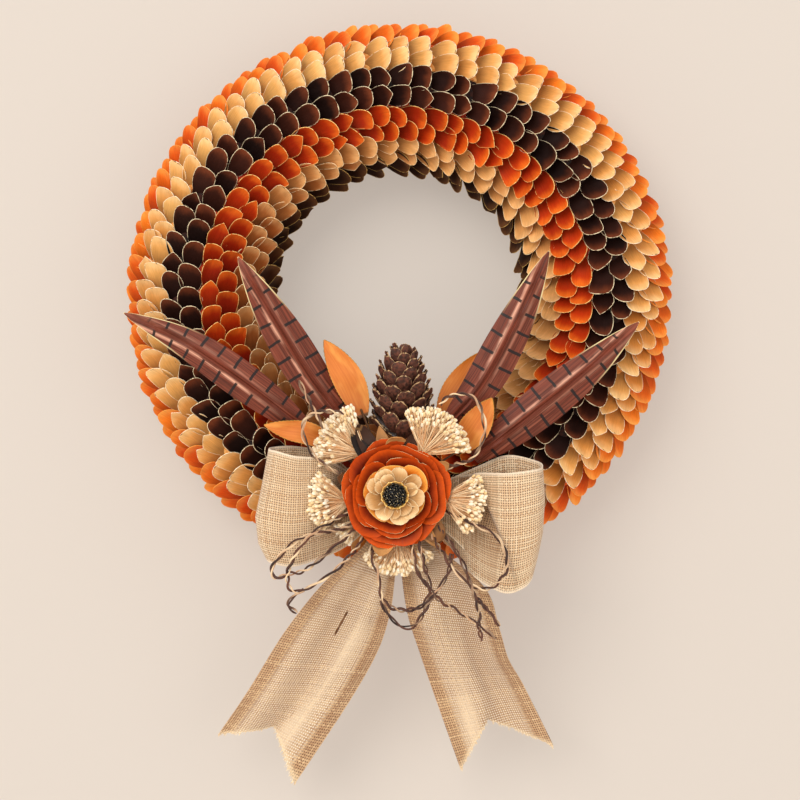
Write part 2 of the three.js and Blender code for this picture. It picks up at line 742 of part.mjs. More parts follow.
function flowerLayers(layers, bossRadius, back, front, twist) {
  const solids = [flowerBoss(bossRadius, back, front)];
  for (const layer of layers) {
    for (let i = 0; i < layer.count; i++) {
      const angle = layer.start * DEGREE + i * FULL_TURN / layer.count;
      solids.push(flowerPetal(angle, back, layer, twist, SHAVING_THICKNESS));
    }
  }
  return fused(solids);
}

function leafCollar(back, front) {
  const solids = [flowerBoss(BOSS_RADII.collar, back, front)];
  for (const { angle, reach, width } of COLLAR_LEAVES) {
    const leaf = { reach, width, rise: 12, cup: 0.5, base: (front - back) / 4 };
    solids.push(flowerPetal(angle * DEGREE, back, leaf, 0.05, SHAVING_THICKNESS));
  }
  return fused(solids);
}

// A dome with its beads raised from it by turns
const CENTRE = { radius: 12.5, height: 7.5, rings: 5, around: 14, dimple: 0.86 };

function beadedCentre(back) {
  const { radius, height, rings, around, dimple } = CENTRE;
  const middle = KNOT_CENTRE.clone().setY(-back);
  const points = [middle.clone()];
  for (let ring = 0; ring < rings; ring++) {
    const slope = (90 - 90 * ring / rings) * DEGREE;
    for (let i = 0; i < around; i++) {
      const angle = i * FULL_TURN / around;
      const bead = (ring + i) % 2 === 0 ? 1 : dimple;
      points.push(middle.clone().add(new THREE.Vector3(
        bead * radius * Math.sin(slope) * Math.cos(angle),
        -bead * height * Math.cos(slope),
        bead * radius * Math.sin(slope) * Math.sin(angle),
      )));
    }
  }
  points.push(middle.clone().setY(-back - height));
  const triangles = [];
  for (let i = 0; i < around; i++) {
    const next = (i + 1) % around;
    triangles.push([0, 1 + next, 1 + i]);
    for (let ring = 0; ring < rings - 1; ring++) {
      const [low, high] = [1 + ring * around, 1 + (ring + 1) * around];
      triangles.push([low + i, low + next, high + next], [low + i, high + next, high + i]);
    }
    const top = 1 + (rings - 1) * around;
    triangles.push([top + i, top + next, points.length - 1]);
  }
  return closedSolid(points, triangles);
}

const COLLAR_BACK = KNOT_FRONT + GAP;
const COLLAR_FRONT = COLLAR_BACK + 4;
const RUST_BACK = COLLAR_FRONT + GAP;
const RUST_FRONT = RUST_BACK + 19;
const ORANGE_BACK = RUST_FRONT + GAP;
const ORANGE_FRONT = ORANGE_BACK + 6;
const CREAM_BACK = ORANGE_FRONT + GAP;
const CREAM_FRONT = CREAM_BACK + 7;
addPart('flower_leaf_collar', 'dry_leaf', leafCollar(COLLAR_BACK, COLLAR_FRONT));
addPart('flower_rust_petals', 'rust',
  flowerLayers(RUST_LAYERS, BOSS_RADII.rust, RUST_BACK, RUST_FRONT, 0.12));
addPart('flower_orange_petals', 'orange',
  flowerLayers(ORANGE_LAYERS, BOSS_RADII.orange, ORANGE_BACK, ORANGE_FRONT, 0.1));
addPart('flower_cream_petals', 'cream',
  flowerLayers(CREAM_LAYERS, BOSS_RADII.cream, CREAM_BACK, CREAM_FRONT, 0.1));
addPart('flower_centre', 'black', beadedCentre(CREAM_FRONT + GAP));

// Dried sprigs: each a bunch of stalks that fan out from a neck, with a bead on each tip.
// entry is the clock angle and depth at the knot, neck a [place, depth], and the fan runs
// between two clock angles and two lengths.
const SPRIGS = [
  { name: 'sprig_top_left', entry: [126, 143], neck: [[366, 456], 152], fan: [108, 188],
    long: [40, 54], tip: 164, count: 11 },
  { name: 'sprig_top_right', entry: [60, 143], neck: [[422, 454], 160], fan: [5, 112],
    long: [34, 50], tip: 181, count: 12 },
  { name: 'sprig_left', entry: [184, 143], neck: [[348, 502], 152], fan: [140, 224],
    long: [28, 42], tip: 168, count: 11 },
  { name: 'sprig_left_low', entry: [222, 143], neck: [[362, 520], 147], fan: [196, 240],
    long: [18, 26], tip: 155, count: 6 },
  { name: 'sprig_bottom', entry: [268, 143], neck: [[398, 536], 148], fan: [212, 330],
    long: [28, 40], tip: 154, count: 12 },
  { name: 'sprig_right', entry: [356, 143], neck: [[444, 500], 152], fan: [-48, 28],
    long: [30, 42], tip: 172, count: 10 },
];

const SPRIG_STEM_RADIUS = 2.2;
const SPRIG_NECK_RADIUS = 4;

function sprig({ entry, neck, fan, long, tip, count }, random) {
  const middle = seen(neck[0], -neck[1]);
  const inner = knotEntry(entry[0], -entry[1]);
  const stem = [inner, inner.clone().lerp(middle, 0.5), middle];
  const solids = [smoothTube(stem, SPRIG_STEM_RADIUS, 5, 12)];
  solids.push(solidOf(new THREE.IcosahedronGeometry(SPRIG_NECK_RADIUS, 0))
    .translate([middle.x, middle.y, middle.z]));
  for (let i = 0; i < count; i++) {
    const angle = (fan[0] + (fan[1] - fan[0]) * (i + 0.5) / count) * DEGREE;
    const reach = long[0] + (long[1] - long[0]) * (i % 2 === 0 ? 0.85 : 0.15)
      + 4 * (random() - 0.5);
    const end = new THREE.Vector3(
      middle.x + reach * Math.cos(angle),
      -tip + (i % 3 - 1) * 3,
      middle.z + reach * Math.sin(angle),
    );
    const neckShare = 1 - 2.4 * BEAD_RADIUS / reach;
    solids.push(stalkSolid(middle, end, [
      [neckShare, STALK_RADIUS], [0.4 + 0.6 * neckShare, BEAD_RADIUS],
    ]));
  }
  return seated(fused(solids));
}

const sprigRandom = seededRandom(29);
for (const bunch of SPRIGS) addPart(bunch.name, 'sprig', sprig(bunch, sprigRandom));

// Curled vine stems. Their depth follows from their distance from the knot, so that stems
// that cross are grown together there.
const VINES = [
  {
    name: 'vine_left',
    stems: [
      [[372, 512], [345, 528], [319, 533], [298, 540], [281, 555], [272, 568], [275, 578],
        [288, 574], [303, 571], [322, 558], [341, 541], [372, 518]],
      [[368, 506], [340, 517], [311, 535], [294, 557], [288, 573], [288, 584], [293, 591],
        [304, 590], [325, 578], [345, 561], [361, 541], [368, 514]],
      [[304, 590], [294, 596], [288, 605], [297, 613]],
    ],
  },
  {
    name: 'vine_top_left',
    stems: [
      [[372, 484], [340, 474], [318, 460], [308, 446], [303, 434], [304, 422], [312, 414],
        [328, 411], [344, 414]],
      [[324, 428], [314, 410], [307, 397], [299, 380]],
    ],
  },
  {
    name: 'vine_top_right',
    stems: [
      [[418, 484], [436, 474], [454, 465], [468, 461], [477, 453], [482, 441], [485, 430],
        [481, 409], [473, 397], [461, 394], [448, 397], [440, 405]],
    ],
  },
  {
    name: 'vine_right',
    stems: [
      [[420, 500], [446, 512], [466, 520], [480, 527], [494, 534], [503, 546], [507, 558],
        [506, 571], [499, 582], [487, 589], [475, 587], [464, 580], [454, 570], [446, 558],
        [436, 542], [418, 510]],
      [[424, 508], [446, 536], [459, 556], [466, 571], [471, 586], [475, 598], [479, 613],
        [479, 627], [482, 641]],
      [[475, 596], [490, 613], [500, 626]],
      [[408, 514], [416, 567], [428, 586], [437, 598], [456, 610], [470, 619], [486, 630],
        [496, 639]],
      [[452, 554], [450, 567], [444, 581], [433, 595], [420, 607], [400, 610], [383, 600],
        [378, 573], [371, 552], [379, 512]],
      [[436, 591], [427, 606], [420, 619], [412, 627], [400, 626], [388, 614], [380, 601]],
      [[412, 514], [424, 563], [428, 577], [430, 592], [424, 604]],
    ],
  },
];
const VINE_RISE = { from: 36, to: 100 };

function vinePoint(place) {
  const away = Math.hypot(place[0] - KNOT_SEEN[0], place[1] - KNOT_SEEN[1]);
  const share = THREE.MathUtils.smoothstep(away, VINE_RISE.from, VINE_RISE.to);
  return seen(place, -VINE_NEAR - (VINE_FAR - VINE_NEAR) * share);
}

function vine({ stems }) {
  return seated(fused(stems.map(
    (stem) => smoothTube(stem.map(vinePoint), VINE_RADIUS, 4, VINE_STEP),
  )));
}

for (const stems of VINES) addPart(stems.name, 'vine', vine(stems));

const object = new THREE.Group();
object.add(wreath);
export default object;
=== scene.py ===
# A wall wreath of dyed wood shavings on a straw ring, with a burlap bow, feathers, veneer
# leaves, a pine cone, dried sprigs, curled vine stems and a flower of shavings.
# Metres, +Z up, the front faces -Y, the wall is the plane y = 0.
from math import asin, cos, hypot, pi, radians, sin, sqrt, tau
from random import Random

import bpy
import numpy as np
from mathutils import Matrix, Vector


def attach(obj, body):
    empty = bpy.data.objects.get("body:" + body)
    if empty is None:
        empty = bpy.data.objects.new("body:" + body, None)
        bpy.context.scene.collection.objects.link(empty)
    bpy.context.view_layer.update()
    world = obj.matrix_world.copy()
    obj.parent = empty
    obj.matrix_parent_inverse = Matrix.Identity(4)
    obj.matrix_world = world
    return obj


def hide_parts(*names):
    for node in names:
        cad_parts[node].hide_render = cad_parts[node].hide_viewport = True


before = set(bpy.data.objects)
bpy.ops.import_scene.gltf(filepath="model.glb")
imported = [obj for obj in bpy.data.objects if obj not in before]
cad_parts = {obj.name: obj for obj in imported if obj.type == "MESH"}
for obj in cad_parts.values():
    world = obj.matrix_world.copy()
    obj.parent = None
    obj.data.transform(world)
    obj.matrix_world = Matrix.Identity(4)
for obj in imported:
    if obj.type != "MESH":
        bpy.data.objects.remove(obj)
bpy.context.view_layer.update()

MM = 0.001

# The ring, and the knot that the bow and the bouquet are fastened to
RING_RADIUS = 0.200
RING_CENTRE_Z = -0.250
CORE_RADIUS = 0.060
CORE_DEPTH = 0.050
CORE_EDGE = asin(CORE_DEPTH / CORE_RADIUS)
SKIN_REACH = 0.0635
KNOT_RADIUS = 0.030
KNOT_FRONT = 0.152

# The view: [across, down] in a square of 800 steps
VIEW_STEP = 1.0275 * MM
VIEW_ACROSS = 399.5
VIEW_DOWN = 400.0
VIEW_CENTRE_Z = -0.35686
EYE_DISTANCE = 3.0
VIEW_HALF_WIDTH = 400 * VIEW_STEP


def stack(*parts):
    """Arrays and numbers set side by side, as the last axis of one array."""
    return np.stack(np.broadcast_arrays(*parts), -1)


def unit(vectors):
    return vectors / np.maximum(np.linalg.norm(vectors, axis=-1, keepdims=True), 1e-12)


def lengths(points):
    """How far along a path each of its points is."""
    return np.append(0, np.cumsum(np.linalg.norm(np.diff(points, axis=0), axis=1)))


def seen(across, down, y):
    """What the camera sees at [across, down], at depth y, as finely as Blender keeps a point."""
    step = VIEW_STEP * (EYE_DISTANCE + y) / (EYE_DISTANCE - CORE_DEPTH)
    place = stack((across - VIEW_ACROSS) * step, y, VIEW_CENTRE_Z - (down - VIEW_DOWN) * step)
    return place.astype(np.float32).astype(float)


KNOT_ACROSS, KNOT_DOWN = 395, 494
KNOT = Vector(seen(KNOT_ACROSS, KNOT_DOWN, -KNOT_FRONT))


def knot_point(angle, radius, depth, side=0.0):
    """A point out from the knot at an angle, or beside that ray."""
    return stack(KNOT.x + radius * np.cos(angle) - side * np.sin(angle), -depth,
                 KNOT.z + radius * np.sin(angle) + side * np.cos(angle))


def knot_entry(degrees, depth):
    """Where a stem runs into the knot's side, at a depth in millimetres."""
    return knot_point(radians(degrees), KNOT_RADIUS - 0.005, depth * MM)


def anywhere(random, high=1):
    """A random place in a small box, whose y ends at high."""
    return np.array([random.uniform(-1, 1), random.uniform(-1, high), random.uniform(-1, 1)])


def add_camera():
    data = bpy.data.cameras.new("camera")
    data.sensor_width = 36
    data.lens = 18 * (EYE_DISTANCE - CORE_DEPTH) / VIEW_HALF_WIDTH
    camera = bpy.data.objects.new("camera", data)
    camera.location = ((400 - VIEW_ACROSS) * VIEW_STEP, -EYE_DISTANCE, VIEW_CENTRE_Z)
    camera.rotation_euler = (pi / 2, 0, 0)
    bpy.context.scene.collection.objects.link(camera)
    bpy.context.scene.camera = camera


add_camera()


# Shader arithmetic
class Reading:
    """A socket of a finish's nodes that can be reckoned with."""

    def __init__(self, finish, output):
        self.finish = finish
        self.output = output

    def reckon(self, operation, *values):
        return self.finish.node("Math", {"operation": operation}, dict(enumerate(values)))

    def __add__(self, other):
        return self.reckon("ADD", self, other)

    __radd__ = __add__

    def __sub__(self, other):
        return self.reckon("SUBTRACT", self, other)

    def __rsub__(self, other):
        return self.reckon("SUBTRACT", other, self)

    def __mul__(self, other):
        return self.reckon("MULTIPLY", self, other)

    __rmul__ = __mul__

    def __truediv__(self, other):
        return self.reckon("DIVIDE", self, other)

    def __pow__(self, other):
        return self.reckon("POWER", self, other)

    def fraction(self):
        return self.reckon("FRACT", self)

    def whole(self):
        return self.reckon("FLOOR", self)

    def size(self):
        return self.reckon("ABSOLUTE", self)

    def wave(self):
        return self.reckon("SINE", self)

    def most(self, other):
        return self.reckon("MAXIMUM", self, other)

    def step(self, low, high):
        """0 below low and 1 above high, with a soft change between them."""
        return self.finish.node("MapRange", {"interpolation_type": "SMOOTHSTEP"}, {
            "Value": self, "From Min": low, "From Max": high})

    def map(self, low, high, new_low, new_high):
        return self.finish.node("MapRange", {}, {
            "Value": self, "From Min": low, "From Max": high, "To Min": new_low, "To Max": new_high})

    def spread(self, low, high):
        """A noise's usual range, moved to low and high."""
        return self.map(0.3, 0.7, low, high)


def colour(code):
    """A colour of the record's kind, 0xRRGGBB, as a shader's linear one."""
    parts = [((code >> shift) & 255) / 255 for shift in (16, 8, 0)]
    return (*[c / 12.92 if c <= 0.04045 else ((c + 0.055) / 1.055) ** 2.4 for c in parts], 1)


class Finish:
    """A material, whose tint is dyed first and then laid over and shaded."""

    def __init__(self, name, **constants):
        self.material = bpy.data.materials.new(name)
        self.material.use_nodes = True
        self.tree = self.material.node_tree
        self.shader = self.tree.nodes["Principled BSDF"]
        self.tint = None
        self.set(**constants)

    def feed(self, socket, value):
        if isinstance(value, Reading):
            self.tree.links.new(value.output, socket)
        else:
            socket.default_value = value

    def node(self, kind, settings, inputs, output=0):
        node = self.tree.nodes.new("ShaderNode" + kind)
        for key, value in settings.items():
            setattr(node, key, value)
        for key, value in inputs.items():
            self.feed(node.inputs[key], value)
        return Reading(self, node.outputs[output])

    def set(self, **sockets):
        for name, value in sockets.items():
            name = name.replace("_", " ").title().replace("Ior", "IOR")
            self.feed(self.shader.inputs[name], value)
        return self.material

    def vector(self, x, y, z):
        return self.node("CombineXYZ", {}, {0: x, 1: y, 2: z})

    def noise(self, vector, scale=1.0, detail=2.0, roughness=0.5):
        return self.node("TexNoise", {}, {
            "Vector": vector, "Scale": scale, "Detail": detail, "Roughness": roughness})

    def spots(self, scale, detail=2.0):
        """A noise in the piece's own space."""
        return self.noise(self.node("TexCoord", {}, {}, "Object"), scale, detail)

    def dice(self, vector):
        """A number by chance for each place."""
        return self.node("TexWhiteNoise", {}, {"Vector": vector}, "Value")

    def mix(self, factor, first, second, kind="MIX"):
        settings = {"data_type": "RGBA", "blend_type": kind}
        return self.node("Mix", settings, {0: factor, 6: first, 7: second}, 2)

    def dye(self, factor, first, second):
        self.tint = self.mix(factor, colour(first), colour(second))

    def over(self, factor, code):
        """Lays another colour over the tint."""
        self.tint = self.mix(factor, self.tint, colour(code))

    def shade(self, amount):
        """Makes the tint lighter or darker by a reading."""
        grey = self.node("CombineColor", {}, {0: amount, 1: amount, 2: amount})
        self.tint = self.mix(1.0, self.tint, grey, "MULTIPLY")

    def done(self, roughness, relief, distance, strength):
        """Sets the tint, the roughness and the relief, and gives the material."""
        bump = self.node("Bump", {}, {"Height": relief, "Distance": distance, "Strength": strength})
        return self.set(base_color=self.tint, roughness=roughness, normal=bump)


class StripFinish(Finish):
    """A finish that knows its lay, the metres across and along a strip with a number of its
    own, and its tone, the nearness to a cut edge, the share of the way along and a number
    of its own."""

    def __init__(self, name, **constants):
        super().__init__(name, **constants)
        self.across, self.along, self.seed = self.parts("lay")
        self.edge, self.share, self.chance = self.parts("tone")

    def parts(self, attribute):
        vector = self.node("Attribute", {"attribute_name": attribute}, {}, "Vector")
        return [self.node("SeparateXYZ", {}, {0: vector}, i) for i in range(3)]

    def grain(self, across, along, seed, detail=2.0, roughness=0.5):
        """A noise with its own scale across and along the strip."""
        place = self.vector(self.across * across, self.along * along, self.seed * seed)
        return self.noise(place, 1.0, detail, roughness)


def shaving_finish(name, dark, light, painted_glow, rim, fleck=None, worn_rim=0.75, painted_foot_shade=(0.3, 0.75, 0.5)):
    """Dyed wood shaving: fine grain along it, with painted shade at its foot and a painted glow
    of light at its tip and sides, and a thin worn rim. The foot shade numbers are the share
    where the painted shade at its foot ends, where its body starts, and how dark it is."""
    finish = StripFinish(name, specular_ior_level=0.14)
    edge, share = finish.edge, finish.share
    grain = finish.grain(1500, 90, 37, 3.0)
    cloud = finish.grain(110, 70, 11, 3.0)
    patch = finish.grain(260, 260, 3)
    # The third tone mixes dark and light; in some bands it carries painted light and shade by the side of
    # the ring.
    finish.dye(finish.chance, dark, light)
    # Painted light: the tip and the sides glow paler, as thin wood does where light falls on it and shines
    # through it.
    tip = (share + (cloud - 0.5) * 0.35 + edge * 0.12).step(0.66, 1.1)
    side = (edge + (cloud - 0.5) * 0.5).step(0.35, 1.0) * share.step(0.35, 0.9)
    finish.over(tip.most(side * 0.7) * finish.chance.map(0, 1, 0.5, 1.0), painted_glow)
    finish.shade(grain.spread(0.88, 1.08) * cloud.spread(0.9, 1.06))
    # Painted shade at the foot, where the shaving or petal before it lies over it and shades it.
    finish.shade(share.map(*painted_foot_shade, 1.0))
    worn = (edge + (cloud - 0.5) * 0.12).step(0.88, 0.96) * patch.step(0.36, 0.48)
    finish.over(worn * worn_rim, rim)
    if fleck:
        spot = finish.grain(230, 230, 5)
        inside = (edge * share).step(0.66, 0.8) * (1 - 0.6 * edge.step(0.93, 1.0))
        finish.over(spot.step(0.54, 0.6) * inside * 0.8, fleck)
    return finish.done(grain.spread(0.42, 0.62), grain, 0.00022, 0.5)


def cut_finish(name, tint, dark, scale=420, first=0.48, last=0.66):
    """The bare cut edge of a shaving or leaf, worn away in places."""
    finish = Finish(name, specular_ior_level=0.2)
    patch = finish.spots(scale)
    finish.dye(patch.step(first, last), tint, dark)
    return finish.done(patch.spread(0.55, 0.8), patch, 0.0002, 0.4)


def burlap_finish(name, dark, light, shadow, pitch, wall_seen=0.0):
    """An open plain weave of thick and thin threads, a pitch apart. The third number of its
    tone under a half paints shade into a sunken fold, and over a half paints light on a ridge.
    Through its middle, as much of the wall shows as wall_seen says."""
    finish = StripFinish(name, sheen_weight=0.3, sheen_roughness=0.5)
    across, along, seed, edge = finish.across, finish.along, finish.seed, finish.edge
    sway = finish.grain(25, 25, 1) - 0.5
    pull = finish.noise(finish.vector(across * 25 + 7.0, along * 25, seed)) - 0.5
    slub = finish.noise(finish.vector(across * 150, along * 150, seed + 4.0), detail=3.0)
    open_part = wall_seen * (1 - edge.step(0.24, 0.5))

    def threads(place, number):
        """The rows, tones and heights of parallel threads."""
        row = place.whole()
        tone = finish.dice(finish.vector(row, number, seed))
        half = tone.map(0, 1, 0.57, 0.66) + (slub - 0.5) * 0.16 - open_part * 0.11
        height = (1 - (place.fraction() - 0.5).size() * 2 / half).most(0) ** 0.5
        return row, tone, height

    warp_row, warp_tone, warp_height = threads((across + sway * 0.0026) / pitch, 3.0)
    weft_row, weft_tone, weft_height = threads((along + pull * 0.0026) / pitch, 9.0)
    warp_up = ((warp_row + weft_row) * 0.5).fraction() * 2
    height = (warp_height * (0.65 + 0.35 * warp_up)).most(weft_height * (1 - 0.35 * warp_up))
    hole = 1 - height.step(0.05, 0.5)
    finish.dye(warp_tone * warp_up + weft_tone * (1 - warp_up), dark, light)
    finish.over(slub.step(0.5, 0.8) * 0.35, 0xC89C70)
    # Painted shade in the low parts of the weave between the threads; the threads are also a little darker
    # where the weave is open.
    finish.shade(height.map(0.3, 1.0, 0.84, 1.04) - open_part * 0.13)
    # Painted shade in sunken folds.
    finish.over(finish.chance.map(0.0, 0.5, 0.8, 0.0), 0x8E6038)
    # Painted light on ridges, where the holes also show less.
    painted_ridge_light = finish.chance.step(0.5, 1.0)
    finish.over(painted_ridge_light * 0.5, 0xFFEAC8)
    fleck = finish.dice(finish.vector(warp_row, (along * 120).whole(), seed + 2.0))
    finish.over(fleck.step(0.9965, 0.998) * 0.5, 0x8A6040)
    gap = finish.mix(open_part, colour(shadow), colour(0xF6E8D2))
    finish.tint = finish.mix(hole * (0.92 - painted_ridge_light * 0.4), finish.tint, gap)
    finish.over((edge * (1 - wall_seen)).step(0.8, 0.96) * 0.6, 0xFFF0D8)
    finish.over(finish.share.step(0.97, 1.0) * 0.5, 0xF8E4BE)
    return finish.done(height.map(0, 1, 0.95, 0.8), height, 0.0006, 0.7)


def feather_finish():
    """Copper-brown satin with dark bars, which alternate on the two halves, and a painted sheen
    in broad streaks and in a band beside the rib. The third number of its tone is the way
    across, from -1 to 1."""
    bar_step, painted_sheen_place, painted_sheen_width = 0.0196, 0.0052, 0.0026
    finish = StripFinish("feather", specular_ior_level=0.2)
    across, share = finish.across, finish.share
    streak = finish.grain(900, 14, 5, 4.0)
    painted_sheen_streaks = finish.grain(330, 9, 3)
    cloud = finish.grain(60, 40, 3)
    finish.dye(streak.step(0.3, 0.7), 0x52261A, 0x803E2C)
    # Painted sheen: broad pale streaks along the satin.
    finish.over(painted_sheen_streaks.step(0.52, 0.74) * 0.45, 0xA6624A)
    finish.over(cloud.step(0.45, 0.75) * 0.4, 0x431D12)
    side = across.step(-0.0001, 0.0001)
    # Painted sheen: a pale band beside the rib, stronger on one half.
    band = (1 - (across.size() - painted_sheen_place).size() / painted_sheen_width).most(0) * share.step(0.1, 0.4)
    finish.over(band * (cloud + streak * 0.6).step(0.55, 0.95) * (0.85 - 0.6 * side), 0xF0B498)
    bar_place = (finish.along / bar_step + side * 0.48 + (cloud - 0.5) * 0.16).fraction()
    bar = 1 - (bar_place - 0.5).size().step(0.058, 0.088)
    bar = bar * (finish.chance.size() + (streak - 0.5) * 0.2).step(0.22, 0.32)
    bar = bar * (1 - share.step(0.86, 0.89)) * share.step(0.05, 0.08)
    finish.over(bar * 0.94, 0x1E1A1A)
    rim = (finish.edge + (cloud - 0.5) * 0.3).step(0.58, 0.7) * share.step(0.6, 0.84)
    finish.over(rim * 0.9, 0xF0DCA4)
    return finish.done(streak.spread(0.38, 0.52), streak + painted_sheen_streaks, 0.0006, 0.7)


def veneer_finish():
    """Bright orange veneer with lengthwise grain and a pale rim."""
    finish = StripFinish("veneer")
    grain = finish.grain(800, 30, 13, 4.0)
    cloud = finish.grain(100, 30, 3)
    finish.dye(grain.step(0.1, 0.9), 0xC86818, 0xDC8230)
    finish.over(cloud.step(0.45, 0.75) * 0.5, 0xFFBC5C)
    finish.shade(finish.share.map(0.0, 0.6, 0.78, 1.0))
    finish.over(1 - finish.share.step(0.02, 0.05), 0x5A3A1C)
    finish.over((finish.edge + (grain - 0.5) * 0.2).step(0.84, 0.92) * 0.7, 0xD8A04C)
    return finish.done(grain.spread(0.42, 0.6), grain, 0.00012, 0.3)


def cone_finish():
    """Dark scales with rough, gold-brown rims."""
    finish = StripFinish("cone scale")
    fibre = finish.grain(700, 150, 13, 4.0)
    patch = finish.grain(300, 300, 7, 4.0)
    finish.dye(patch.step(0.3, 0.7), 0x32180F, 0x6E3C2A)
    finish.over(fibre.step(0.55, 0.8) * 0.5, 0x8A5E50)
    rim = (finish.edge + (patch - 0.5) * 0.8).step(0.8, 0.96) * finish.share.step(0.55, 0.85)
    finish.over(rim * 0.8, 0xD6B07C)
    return finish.done(patch.spread(0.5, 0.85), fibre + patch, 0.0006, 0.9)


def stalk_finish():
    """Dried stalks, with cream buds where their tone's edge is 1."""
    finish = StripFinish("dried stalk")
    fleck = finish.spots(900)
    stalk = finish.mix(finish.chance, colour(0xD49A62), colour(0xFCE2B8))
    bud = finish.mix(finish.chance, colour(0xF0CE94), colour(0xFFF6E0))
    finish.tint = finish.mix(finish.edge, stalk, bud)
    finish.shade(fleck.spread(0.82, 1.12))
    return finish.done(fleck.spread(0.6, 0.85), fleck, 0.0003, 0.5)


def vine_finish():
    """Thin bark strands, dark ones and pale ones."""
    finish = StripFinish("vine strand")
    streak = finish.grain(300, 40, 9, 3.0)
    patch = finish.noise(finish.vector(finish.along * 28, finish.seed * 5, 0.0))
    dark = finish.mix(streak.step(0.3, 0.7), colour(0x22110C), colour(0x643C2C))
    pale = finish.mix(streak.step(0.3, 0.7), colour(0xA87858), colour(0xF0D6AE))
    finish.tint = finish.mix((finish.chance + (patch - 0.5) * 0.9).step(0.4, 0.6), dark, pale)
    return finish.done(streak.spread(0.6, 0.85), streak, 0.0003, 0.7)


def leaf_finish():
    """Curled dry leaves, blackish where their tone's third number is below 0."""
    finish = StripFinish("dry leaf")
    vein = (finish.across.size() * 220 - finish.along * 160).wave()
    cloud = finish.grain(120, 80, 3, 3.0)
    finish.dye(finish.chance.most(0), 0x5A3012, 0xC48C50)
    finish.over(finish.chance.size() * (1 - finish.chance.step(-0.01, 0.01)) * 1.6, 0x140A08)
    finish.shade(cloud.spread(0.75, 1.2))
    finish.over(vein.step(0.85, 1.0) * 0.3, 0xD2A468)
    return finish.done(cloud.spread(0.6, 0.85), cloud + vein * 0.2, 0.0005, 0.5)


def straw_finish():
    """Bound straw: pale and brown stems side by side."""
    finish = StripFinish("straw", sheen_weight=0.1)
    stem = finish.grain(420, 14, 0, 4.0, 0.65)
    finish.dye(stem.map(0.28, 0.45, 0, 1), 0x5E4522, 0xA98545)
    finish.over(stem.map(0.45, 0.6, 0, 1), 0xD6B872)
    finish.over(stem.map(0.6, 0.75, 0, 1), 0xEBD9A0)
    finish.shade(finish.spots(150, 3.0).spread(0.8, 1.1))
    return finish.done(stem.spread(0.7, 0.9), stem, 0.002, 0.9)


def bead_finish():
    """Shiny black, with a few pale specks painted on as glints of light."""
    finish = Finish("black bead", specular_ior_level=0.3)
    painted_glint = finish.spots(780, 1.0)
    finish.dye(painted_glint.step(0.66, 0.72), 0x040303, 0xF4DCA8)
    return finish.done(painted_glint.spread(0.16, 0.3), painted_glint, 0.00004, 0.3)


def plain_finish(name, first, second, scale, roughness, metallic=0.0):
    """Two tones in small patches."""
    finish = Finish(name, metallic=metallic)
    patch = finish.spots(scale)
    finish.dye(patch.step(0.35, 0.65), first, second)
    return finish.done(patch.spread(roughness - 0.06, roughness + 0.06), patch, 0.0002, 0.5)


